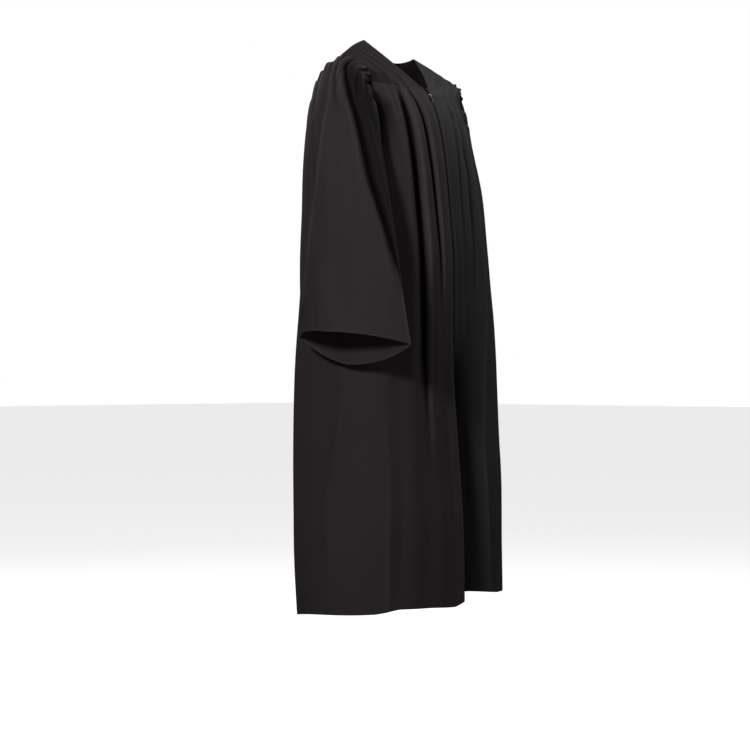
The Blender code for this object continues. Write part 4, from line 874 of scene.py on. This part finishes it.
def cloth_material(name, seed, dark, pale, fine=1.0):
    """Matte black woven polyester: plain weave, faint slubs, uneven dye and a soft nap, with its colour made paler near
    seams, painted highlight on ridges and painted shade in folds.
    """
    mat, tree, shader = nodes_of(name)
    new, link = tree.nodes.new, tree.links.new
    grain = new("ShaderNodeAttribute")
    grain.attribute_name = "grain"
    seam = new("ShaderNodeAttribute")
    seam.attribute_name = "seam"
    place = new("ShaderNodeTexCoord")
    shift = new("ShaderNodeMapping")
    shift.inputs["Location"].default_value = (seed * 1.7, seed * 0.9, seed * 2.3)
    link(place.outputs["Object"], shift.inputs["Vector"])

    def wave(direction):
        w = new("ShaderNodeTexWave")
        w.wave_type, w.bands_direction, w.wave_profile = "BANDS", direction, "SIN"
        w.inputs["Scale"].default_value = 900.0
        w.inputs["Distortion"].default_value = 0.0
        link(grain.outputs["Vector"], w.inputs["Vector"])
        return w.outputs["Fac"]
    warp, weft = wave("X"), wave("Y")
    weave = new("ShaderNodeMath")
    weave.operation = "MAXIMUM"
    link(warp, weave.inputs[0])
    link(weft, weave.inputs[1])

    slub = new("ShaderNodeTexNoise")
    slub.inputs["Scale"].default_value = 1.0
    slub.inputs["Detail"].default_value = 3.0
    stretch = new("ShaderNodeMapping")
    stretch.inputs["Scale"].default_value = (420.0, 40.0, 1.0)
    stretch.inputs["Location"].default_value = (seed, seed * 3.1, 0.0)
    link(grain.outputs["Vector"], stretch.inputs["Vector"])
    link(stretch.outputs["Vector"], slub.inputs["Vector"])

    dye = new("ShaderNodeTexNoise")
    dye.inputs["Scale"].default_value = 5.0
    dye.inputs["Detail"].default_value = 4.0
    dye.inputs["Roughness"].default_value = 0.55
    link(shift.outputs["Vector"], dye.inputs["Vector"])

    mix = new("ShaderNodeMix")
    mix.data_type = "RGBA"
    mix.inputs["A"].default_value = (*dark, 1)
    mix.inputs["B"].default_value = (*pale, 1)
    blend = new("ShaderNodeMath")
    blend.operation = "MULTIPLY_ADD"
    blend.inputs[1].default_value = 0.25
    link(slub.outputs["Fac"], blend.inputs[0])
    half = new("ShaderNodeMath")
    half.operation = "MULTIPLY"
    half.inputs[1].default_value = 0.75
    link(dye.outputs["Fac"], half.inputs[0])
    link(half.outputs[0], blend.inputs[2])
    link(blend.outputs[0], mix.inputs["Factor"])
    # paler near seams and hems, and painted highlight on crisp ridges, from the 'seam' attribute
    paler_and_ridge_highlight = new("ShaderNodeMix")
    paler_and_ridge_highlight.data_type = "RGBA"
    paler_and_ridge_highlight.inputs["B"].default_value = (pale[0] * 2.2, pale[1] * 2.2, pale[2] * 2.2, 1)
    link(mix.outputs["Result"], paler_and_ridge_highlight.inputs["A"])
    link(seam.outputs["Fac"], paler_and_ridge_highlight.inputs["Factor"])
    # painted shade: the 'deep' attribute darkens the colour to near black in folds and where a piece lies under or
    # beside another
    deep = new("ShaderNodeAttribute")
    deep.attribute_name = "deep"
    painted_shade_mix = new("ShaderNodeMix")
    painted_shade_mix.data_type = "RGBA"
    painted_shade_mix.inputs["B"].default_value = (dark[0] * 0.04, dark[1] * 0.04, dark[2] * 0.04, 1)
    link(paler_and_ridge_highlight.outputs["Result"], painted_shade_mix.inputs["A"])
    link(deep.outputs["Fac"], painted_shade_mix.inputs["Factor"])
    link(painted_shade_mix.outputs["Result"], shader.inputs["Base Color"])

    rough = new("ShaderNodeMapRange")
    rough.inputs["To Min"].default_value = 0.60
    rough.inputs["To Max"].default_value = 0.78
    link(dye.outputs["Fac"], rough.inputs["Value"])
    link(rough.outputs["Result"], shader.inputs["Roughness"])
    shader.inputs["Specular IOR Level"].default_value = 0.05
    shader.inputs["Sheen Weight"].default_value = 0.006
    shader.inputs["Sheen Roughness"].default_value = 0.45
    shader.inputs["Sheen Tint"].default_value = (0.95, 0.90, 0.90, 1.0)

    b1 = new("ShaderNodeBump")
    b1.inputs["Strength"].default_value = 0.12 * fine
    b1.inputs["Distance"].default_value = 0.00012
    link(weave.outputs[0], b1.inputs["Height"])
    b2 = new("ShaderNodeBump")
    b2.inputs["Strength"].default_value = 0.35
    b2.inputs["Distance"].default_value = 0.0012
    soft = new("ShaderNodeTexNoise")
    soft.inputs["Scale"].default_value = 46.0
    soft.inputs["Detail"].default_value = 2.5
    soft.inputs["Roughness"].default_value = 0.45
    link(shift.outputs["Vector"], soft.inputs["Vector"])
    link(soft.outputs["Fac"], b2.inputs["Height"])
    link(b1.outputs["Normal"], b2.inputs["Normal"])
    link(b2.outputs["Normal"], shader.inputs["Normal"])
    return mat


def plain_material(name, rgb, roughness, metallic=0.0, scale=900.0, depth=0.00004, spread=0.12):
    """Thread, tape, coil or metal: a base colour with fine mottling and a fine bump."""
    mat, tree, shader = nodes_of(name)
    new, link = tree.nodes.new, tree.links.new
    place = new("ShaderNodeTexCoord")
    noise = new("ShaderNodeTexNoise")
    noise.inputs["Scale"].default_value = scale
    noise.inputs["Detail"].default_value = 3.0
    link(place.outputs["Object"], noise.inputs["Vector"])
    mix = new("ShaderNodeMix")
    mix.data_type = "RGBA"
    mix.inputs["A"].default_value = (rgb[0] * (1 - spread), rgb[1] * (1 - spread), rgb[2] * (1 - spread), 1)
    mix.inputs["B"].default_value = (min(1, rgb[0] * (1 + spread)), min(1, rgb[1] * (1 + spread)), min(1, rgb[2] * (1 + spread)), 1)
    link(noise.outputs["Fac"], mix.inputs["Factor"])
    link(mix.outputs["Result"], shader.inputs["Base Color"])
    rough = new("ShaderNodeMapRange")
    rough.inputs["To Min"].default_value = max(0.05, roughness - 0.07)
    rough.inputs["To Max"].default_value = min(1.0, roughness + 0.07)
    link(noise.outputs["Fac"], rough.inputs["Value"])
    link(rough.outputs["Result"], shader.inputs["Roughness"])
    shader.inputs["Metallic"].default_value = metallic
    bump = new("ShaderNodeBump")
    bump.inputs["Strength"].default_value = 0.4
    bump.inputs["Distance"].default_value = depth
    link(noise.outputs["Fac"], bump.inputs["Height"])
    link(bump.outputs["Normal"], shader.inputs["Normal"])
    return mat


# one cloth in two tones: the wearer's left gets a cooler, slightly lighter tone than the right side and the back, as
# painted light and shade
DARK, PALE = (0.0212, 0.0170, 0.0180), (0.0340, 0.0272, 0.0286)
DARK_LEFT, PALE_LEFT = (0.0210, 0.0205, 0.0205), (0.0320, 0.0314, 0.0311)
thread = plain_material("thread", (0.022, 0.020, 0.021), 0.55)


def seam_shade(grid, top=0.0, bottom=0.0, first=0.0, last=0.0, width=0.004):
    """How much paler the cloth's colour is made near the edges named."""
    u, v = measures(grid)
    s = np.zeros(grid.shape[:2])
    for on, d in ((top, v - v[:1]), (bottom, v[-1:] - v), (first, u - u[:, :1]), (last, u[:, -1:] - u)):
        if on:
            s = np.maximum(s, on * np.exp(-(d / width) ** 2))
    return s


# ---------------------------------------------------------------- build: yokes
made = {}


def roll_edges(grid, n, edges, depth=0.0007, width=0.0022):
    """Edges turned under: the last two millimetres bend inwards."""
    u, v = measures(grid)
    dist = {"top": v - v[:1], "bottom": v[-1:] - v, "first": u - u[:, :1], "last": u[:, -1:] - u}
    g = grid.copy()
    for e in edges:
        t = np.clip(1 - dist[e] / width, 0, 1)
        g = g - n * (depth * t * t)[..., None]
    return g


yokes = {}
for side, name, dents in ((-1, "yoke_front_right", YOKE_DENTS_RIGHT), (1, "yoke_front_left", YOKE_DENTS_LEFT)):
    g = front_yoke_grid(side=side)
    v = g[1] - g[0]
    g[0] = g[0] + v / np.linalg.norm(v, axis=-1, keepdims=True) * SHOULDER_GAP
    g = sided(g, side)
    n = outward(g)
    g = dented(g, dents, n)
    yokes[side] = g
    made[name] = (g, ("top", "bottom", "first"))
g = back_yoke_grid()
for j in list(range(0, 45)) + list(range(g.shape[1] - 45, g.shape[1])):
    v = g[1, j] - g[0, j]
    g[0, j] += v / np.linalg.norm(v) * SHOULDER_GAP
n = outward(g)
g = dented(g, YOKE_DENTS_BACK, n)
yokes[0] = g
made["yoke_back"] = (g, ("top", "bottom"))

seed = 1
cloths = {}
for name, (g, edges) in made.items():
    n = outward(g)
    g2 = roll_edges(g, n, edges, 0.0006, 0.0020)
    tones = (DARK_LEFT, PALE_LEFT) if name.endswith("left") else (DARK, PALE)
    # painted light and shade: the left yoke's tones are made lighter and the right and back yokes' darker, for how the
    # light falls on them
    tones = [tuple(v * (1.22 if name.endswith("left") else 0.76) for v in t) for t in tones]
    mat = cloth_material(name + "_cloth", seed, *tones)
    ob = add_cloth(name + "_shell", g2, mat, normal=n, seams=seam_shade(g, bottom=0.20, top=0.15, width=0.0025))
    cloths[name] = ob
    seed += 1

# ---------------------------------------------------------------- build: fronts and back
stitch_lines = {"body": [], "sleeves": []}
fronts = {}
for side, name in ((-1, "front_right"), (1, "front_left")):
    g = front_grid(side)
    fronts[side] = g
    n = outward(g)
    g2 = roll_edges(g, n, ("first",), 0.0016, 0.0034)
    tuck = under(yokes[side], g2[0], 0.0017)
    g3 = np.concatenate([np.array(tuck), g2])
    tones = (DARK_LEFT, PALE_LEFT) if side > 0 else (DARK, PALE)
    mat = cloth_material(name + "_cloth", seed, *tones)
    s = seam_shade(g3, bottom=0.10, first=0.12, width=0.003)
    u, v = measures(g3)
    z = g3[..., 2]
    # painted shadow: the fronts are made darker beside their armholes, where the sleeves hang in front of them
    behind = 0.94 * np.exp(-((u[:, -1:] - u) / 0.031) ** 2) * ramp(-0.115, -0.15, z) * ramp(-0.66, -0.42, z)
    if side > 0:
        # painted shadow: the left front is made darker along its closing edge, most below the zip, where the right
        # front overlaps it
        behind = np.maximum(behind, 0.42 * np.exp(-((u - u[:, :1]) / 0.070) ** 2) * ramp(-0.16, -0.30, z))
        behind = 0.55 * behind + 0.72 * np.exp(-((u - u[:, :1]) / 0.052) ** 2) * ramp(-0.52, -0.70, z)
    # painted shade: a thin dark line along both closing edges above the zip's end, in the groove between the fronts
    behind = np.maximum(behind, 0.97 * np.exp(-((u - u[:, :1]) / (0.0036 if side > 0 else 0.0016)) ** 2) * ramp(-0.64, -0.61, z))
    ob = add_cloth(name + "_shell", g3, mat, turn=HEM_TURN, seams=s, behind=behind)
    cloths[name] = ob
    # stitching beside the zip and round the hem
    outer = pose(g + n * CLOTH / 2)
    u, v = measures(g)
    rows_zip = [i for i in range(len(g)) if g[i, 0, 2] > ZIP_END_Z - 0.012 and g[i, 0, 2] < -0.116]
    line, nrm = [], []
    for i in rows_zip:
        du = u[i] - u[i, 0]
        line.append([np.interp(0.0085, du, outer[i, :, k]) for k in range(3)])
        nrm.append([np.interp(0.0085, du, n[i, :, k]) for k in range(3)])
    stitch_lines["body"].append((np.array(line), np.array(nrm)))
    line, nrm = [], []
    for j in range(2, g.shape[1] - 1):
        dv = v[-1, j] - v[:, j]
        line.append([np.interp(HEM_TURN - 0.0015, dv[::-1], outer[::-1, j, k]) for k in range(3)])
        nrm.append([np.interp(HEM_TURN - 0.0015, dv[::-1], n[::-1, j, k]) for k in range(3)])
    stitch_lines["body"].append((np.array(line), np.array(nrm)))
    seed += 1

g = back_grid()
n = outward(g)
tuck = under(yokes[0], g[0], 0.0017)
g3 = np.concatenate([np.array(tuck), g])
mat = cloth_material("back_cloth", seed, DARK, PALE)
cloths["back"] = add_cloth("back_shell", g3, mat, turn=HEM_TURN, seams=seam_shade(g3, bottom=0.10, width=0.003))
outer = pose(g + n * CLOTH / 2)
u, v = measures(g)
line, nrm = [], []
for j in range(1, g.shape[1] - 1):
    dv = v[-1, j] - v[:, j]
    line.append([np.interp(HEM_TURN - 0.0015, dv[::-1], outer[::-1, j, k]) for k in range(3)])
    nrm.append([np.interp(HEM_TURN - 0.0015, dv[::-1], n[::-1, j, k]) for k in range(3)])
stitch_lines["body"].append((np.array(line), np.array(nrm)))
seed += 1

# ---------------------------------------------------------------- build: sleeves
levels = np.concatenate([np.linspace(0, 1, 5)[:-1], np.linspace(1, 2, 14)[:-1], np.linspace(2, 8, SLEEVE_ROWS - 17 + 1)])
for side, table, name in ((-1, SLEEVE_RIGHT, "sleeve_right"), (1, SLEEVE_LEFT, "sleeve_left")):
    g, tucked = sleeve_grid(table, levels, side)
    g = sided(g, side)
    n = outward(g[tucked:], True)
    n = np.concatenate([np.repeat(n[:1], tucked, axis=0), n])
    nt = outward(g, True)
    n[:tucked] = nt[:tucked]
    tones = (DARK_LEFT, PALE_LEFT) if side > 0 else (DARK, PALE)
    mat = cloth_material(name + "_cloth", seed, *tones)
    s = seam_shade(g, bottom=0.12, width=0.003)
    # painted shade: the strip in front of the long crease, which turns away from the light under the crease, is made
    # darker
    crease = (SLEEVE_FOLDS_RIGHT if side < 0 else SLEEVE_FOLDS_LEFT)[0]
    lv = np.concatenate([np.zeros(tucked), levels])[:, None]
    ahead = around(2 * math.pi * armhole(side)[2][None], np.radians(smooth_table(crease[1], crease[2], lv)))
    strip = 0.74 * ramp(-0.09, 0.03, ahead) * ramp(1.25, 0.85, ahead) * ramp(0.9, 2.4, lv) * ramp(6.5, 5.3, lv)
    cloths[name] = add_cloth(name + "_shell", g, mat, cyclic=True, normal=n, turn=CUFF_TURN, seams=s, behind=strip)
    gg = g[tucked:]
    nn = n[tucked:]
    outer = pose(gg + nn * CLOTH / 2)
    dv = np.linalg.norm(np.diff(gg, axis=0), axis=-1).mean(axis=1)
    v = np.concatenate([[0], np.cumsum(dv)])
    v = v[-1] - v
    line = np.stack([[np.interp(CUFF_TURN - 0.0015, v[::-1], outer[::-1, j, k]) for k in range(3)] for j in range(g.shape[1])])
    nrm = np.stack([[np.interp(CUFF_TURN - 0.0015, v[::-1], nn[::-1, j, k]) for k in range(3)] for j in range(g.shape[1])])
    line, nrm = np.vstack([line, line[:1]]), np.vstack([nrm, nrm[:1]])
    stitch_lines["sleeves"].append((line, nrm))
    seed += 1

# ---------------------------------------------------------------- build: zip
def strip(x_in, x_out, sides, depth, cols=3):
    """Strip behind the front edges."""
    grid = []
    base = {}
    for side, g in fronts.items():
        n = outward(g)
        base[side] = g - n * depth
    keep = [i for i in range(1, len(fronts[1])) if fronts[1][i, 0, 2] > ZIP_END_Z and fronts[1][i, 0, 2] < -0.1118]
    for i in keep:
        row = []
        for x, side in zip(np.linspace(x_in, x_out, cols), sides):
            g = base[side][i]
            row.append([x] + [float(np.interp(abs(x), np.abs(g[:, 0]), g[:, k])) for k in (1, 2)])
        grid.append(row)
    grid = np.array(grid)
    return grid, outward(grid)


tape_mat = plain_material("zip_tape_cloth", (0.016, 0.015, 0.016), 0.80, scale=1800.0, depth=0.00010, spread=0.25)
coil_mat = plain_material("zip_coil", (0.020, 0.019, 0.020), 0.38, scale=500.0)
tapes = {}
for side, name in ((-1, "zip_tape_right"), (1, "zip_tape_left")):
    near = CHAIN_W / 2 + 0.0004
    mid, n = strip(side * near, side * (near + TAPE_W), (side,) * 9, WALL / 2 + 0.0005 + TAPE_T / 2, 9)
    tapes[name] = add_cloth(name + "_woven", mid, tape_mat, normal=n, thick=TAPE_T)
mid, n = strip(-CHAIN_W / 2, CHAIN_W / 2, (-1, -1, 1, 1, 1), WALL / 2 + 0.0005 + 0.00065, 5)
centre, cn = mid[:, 2], n[:, 2]
p0 = along(centre, 0.0011)
s0 = np.concatenate([[0], np.cumsum(np.linalg.norm(np.diff(centre, axis=0), axis=1))])
t0 = np.arange(0.0011 * 0.6, s0[-1] - 0.0011 * 0.4, 0.0011)
n0 = np.stack([np.interp(t0, s0, cn[:, k]) for k in range(3)], -1)
n0 /= np.linalg.norm(n0, axis=1, keepdims=True)
tan = np.gradient(p0, axis=0)
tan /= np.linalg.norm(tan, axis=1, keepdims=True)
verts, faces = [], []
for i, (p, nn, d) in enumerate(zip(p0, n0, tan)):
    side = -1 if i % 2 else 1
    across = np.array([1.0, 0, 0]) * side
    base = len(verts)
    for f, w, h in ((-0.00045, 0.00045, 0.0007), (0.0004, 0.00055, 0.0012), (0.0018, 0.00040, 0.0010), (0.0021, 0.00028, 0.0006)):
        c = p + across * f
        for e in range(6):
            ang = 2 * math.pi * e / 6
            verts.append(c + d * w * math.cos(ang) * 0.9 + nn * h / 2 * math.sin(ang))
    for r in range(3):
        for e in range(6):
            a, b = base + r * 6 + e, base + r * 6 + (e + 1) % 6
            faces.append((a, b, b + 6, a + 6))
    faces.append(tuple(base + e for e in range(6))[::-1])
    faces.append(tuple(base + 18 + e for e in range(6)))
verts = pose(np.array(verts))
teeth = add_mesh("zip_teeth", verts, faces, coil_mat, True)
bm = bmesh.new()
bm.from_mesh(teeth.data)
bmesh.ops.recalc_face_normals(bm, faces=bm.faces[:])
bm.to_mesh(teeth.data)
bm.free()

stitches_body = add_stitches("stitches_body", stitch_lines["body"], thread)
stitches_sleeves = add_stitches("stitches_sleeves", stitch_lines["sleeves"], thread)

# slider and pull tab keep their frame shapes, with softened edges
nickel = plain_material("slider_nickel", (0.085, 0.085, 0.088), 0.50, 1.0, scale=1600.0, depth=0.00002, spread=0.06)
enamel = plain_material("pull_enamel", (0.030, 0.029, 0.030), 0.55, 0.0, scale=1200.0, depth=0.00002, spread=0.15)
for node, mat in (("zip_slider", nickel), ("zip_pull", enamel)):
    ob = frame["nodes"][node]
    ob.data.materials.clear()
    ob.data.materials.append(mat)
    bev = ob.modifiers.new("edges", "BEVEL")
    mat.node_tree.nodes["Principled BSDF"].inputs["Specular IOR Level"].default_value = 0.5 if mat is nickel else 0.05
    bev.width, bev.segments, bev.limit_method, bev.angle_limit = 0.00018, 3, "ANGLE", math.radians(40)

# ---------------------------------------------------------------- what rides on what
for name, ob in cloths.items():
    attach(ob, "gown")
    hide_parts(name)
for name, ob in tapes.items():
    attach(ob, "gown")
    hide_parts(name)
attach(teeth, "gown")
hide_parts("zip_chain")
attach(stitches_body, "gown")
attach(stitches_sleeves, "gown")

# ---------------------------------------------------------------- floor, light, camera
FLOOR_Z = -1.42
floor_mat, tree, shader = nodes_of("floor")
shader.inputs["Base Color"].default_value = (0.90, 0.90, 0.90, 1)
shader.inputs["Roughness"].default_value = 0.8
shader.inputs["Specular IOR Level"].default_value = 0.0
shader.inputs["Emission Color"].default_value = (1, 1, 1, 1)
shader.inputs["Emission Strength"].default_value = 0.80
mesh = bpy.data.meshes.new("floor")
R = 40.0
mesh.from_pydata([(-R, -R, FLOOR_Z), (R, -R, FLOOR_Z), (R, R, FLOOR_Z), (-R, R, FLOOR_Z)], [], [(0, 1, 2, 3)])
floor = bpy.data.objects.new("floor", mesh)
floor.data.materials.append(floor_mat)
bpy.context.scene.collection.objects.link(floor)
floor.visible_diffuse = False
floor.visible_glossy = False

AZ = math.radians(-47.0)
TO_CAM = Vector((math.sin(AZ), -math.cos(AZ), 0.0))
RIGHT = Vector((math.cos(AZ), math.sin(AZ), 0.0))
UP = Vector((0, 0, 1))


def area_light(name, place, target, size, energy, rgb=(1, 1, 1)):
    data = bpy.data.lights.new(name, "AREA")
    data.shape, data.size, data.energy, data.color = "DISK", size, energy, rgb
    ob = bpy.data.objects.new(name, data)
    ob.location = place
    ob.rotation_mode = "QUATERNION"
    ob.rotation_quaternion = (Vector(target) - Vector(place)).to_track_quat("-Z", "Y")
    bpy.context.scene.collection.objects.link(ob)
    return ob


def round_gown(azimuth, elevation, distance):
    """A point round the gown's middle; azimuth 0 is in front of it and -90 at its right side."""
    a, e = math.radians(azimuth), math.radians(elevation)
    return Vector((math.sin(a) * math.cos(e), -math.cos(a) * math.cos(e), math.sin(e))) * distance + UP * -0.55


area_light("key", round_gown(-76, 26, 3.4), (0, 0, -0.5), 0.7, 76)
area_light("front", round_gown(-34, -8, 3.6), (0, 0, -0.85), 0.8, 17)
area_light("top", round_gown(0, 70, 2.8), (0, 0, -0.3), 0.8, 12)
area_light("left", round_gown(66, 46, 3.2), (0, 0, -0.25), 0.8, 46)
area_light("back", round_gown(170, 35, 3.4), (0, 0, -0.5), 1.2, 30)

world = bpy.data.worlds.new("studio")
bpy.context.scene.world = world
world.use_nodes = True
background = world.node_tree.nodes["Background"]
background.inputs["Color"].default_value = (1, 1, 1, 1)
background.inputs["Strength"].default_value = 0.03
bright = world.node_tree.nodes.new("ShaderNodeBackground")
bright.inputs["Color"].default_value = (1, 1, 1, 1)
bright.inputs["Strength"].default_value = 1.0
path = world.node_tree.nodes.new("ShaderNodeLightPath")
mixer = world.node_tree.nodes.new("ShaderNodeMixShader")
world.node_tree.links.new(path.outputs["Is Camera Ray"], mixer.inputs[0])
world.node_tree.links.new(background.outputs[0], mixer.inputs[1])
world.node_tree.links.new(bright.outputs[0], mixer.inputs[2])
world.node_tree.links.new(mixer.outputs[0], world.node_tree.nodes["World Output"].inputs[0])

cam = bpy.data.cameras.new("camera")
cam.sensor_width = 36.0
D = 4.5
cam.lens = 490.0 * D * 36.0 / 750.0
cam.shift_x = -(399.0 - 375.0) / 750.0
cam.clip_end = 200.0
camera = bpy.data.objects.new("camera", cam)
camera.location = TO_CAM * D + UP * -0.67
camera.rotation_mode = "QUATERNION"
camera.rotation_quaternion = (-TO_CAM).to_track_quat("-Z", "Y")
bpy.context.scene.collection.objects.link(camera)
bpy.context.scene.camera = camera
bpy.context.scene.view_settings.view_transform = "Standard"
bpy.context.scene.view_settings.look = "None"
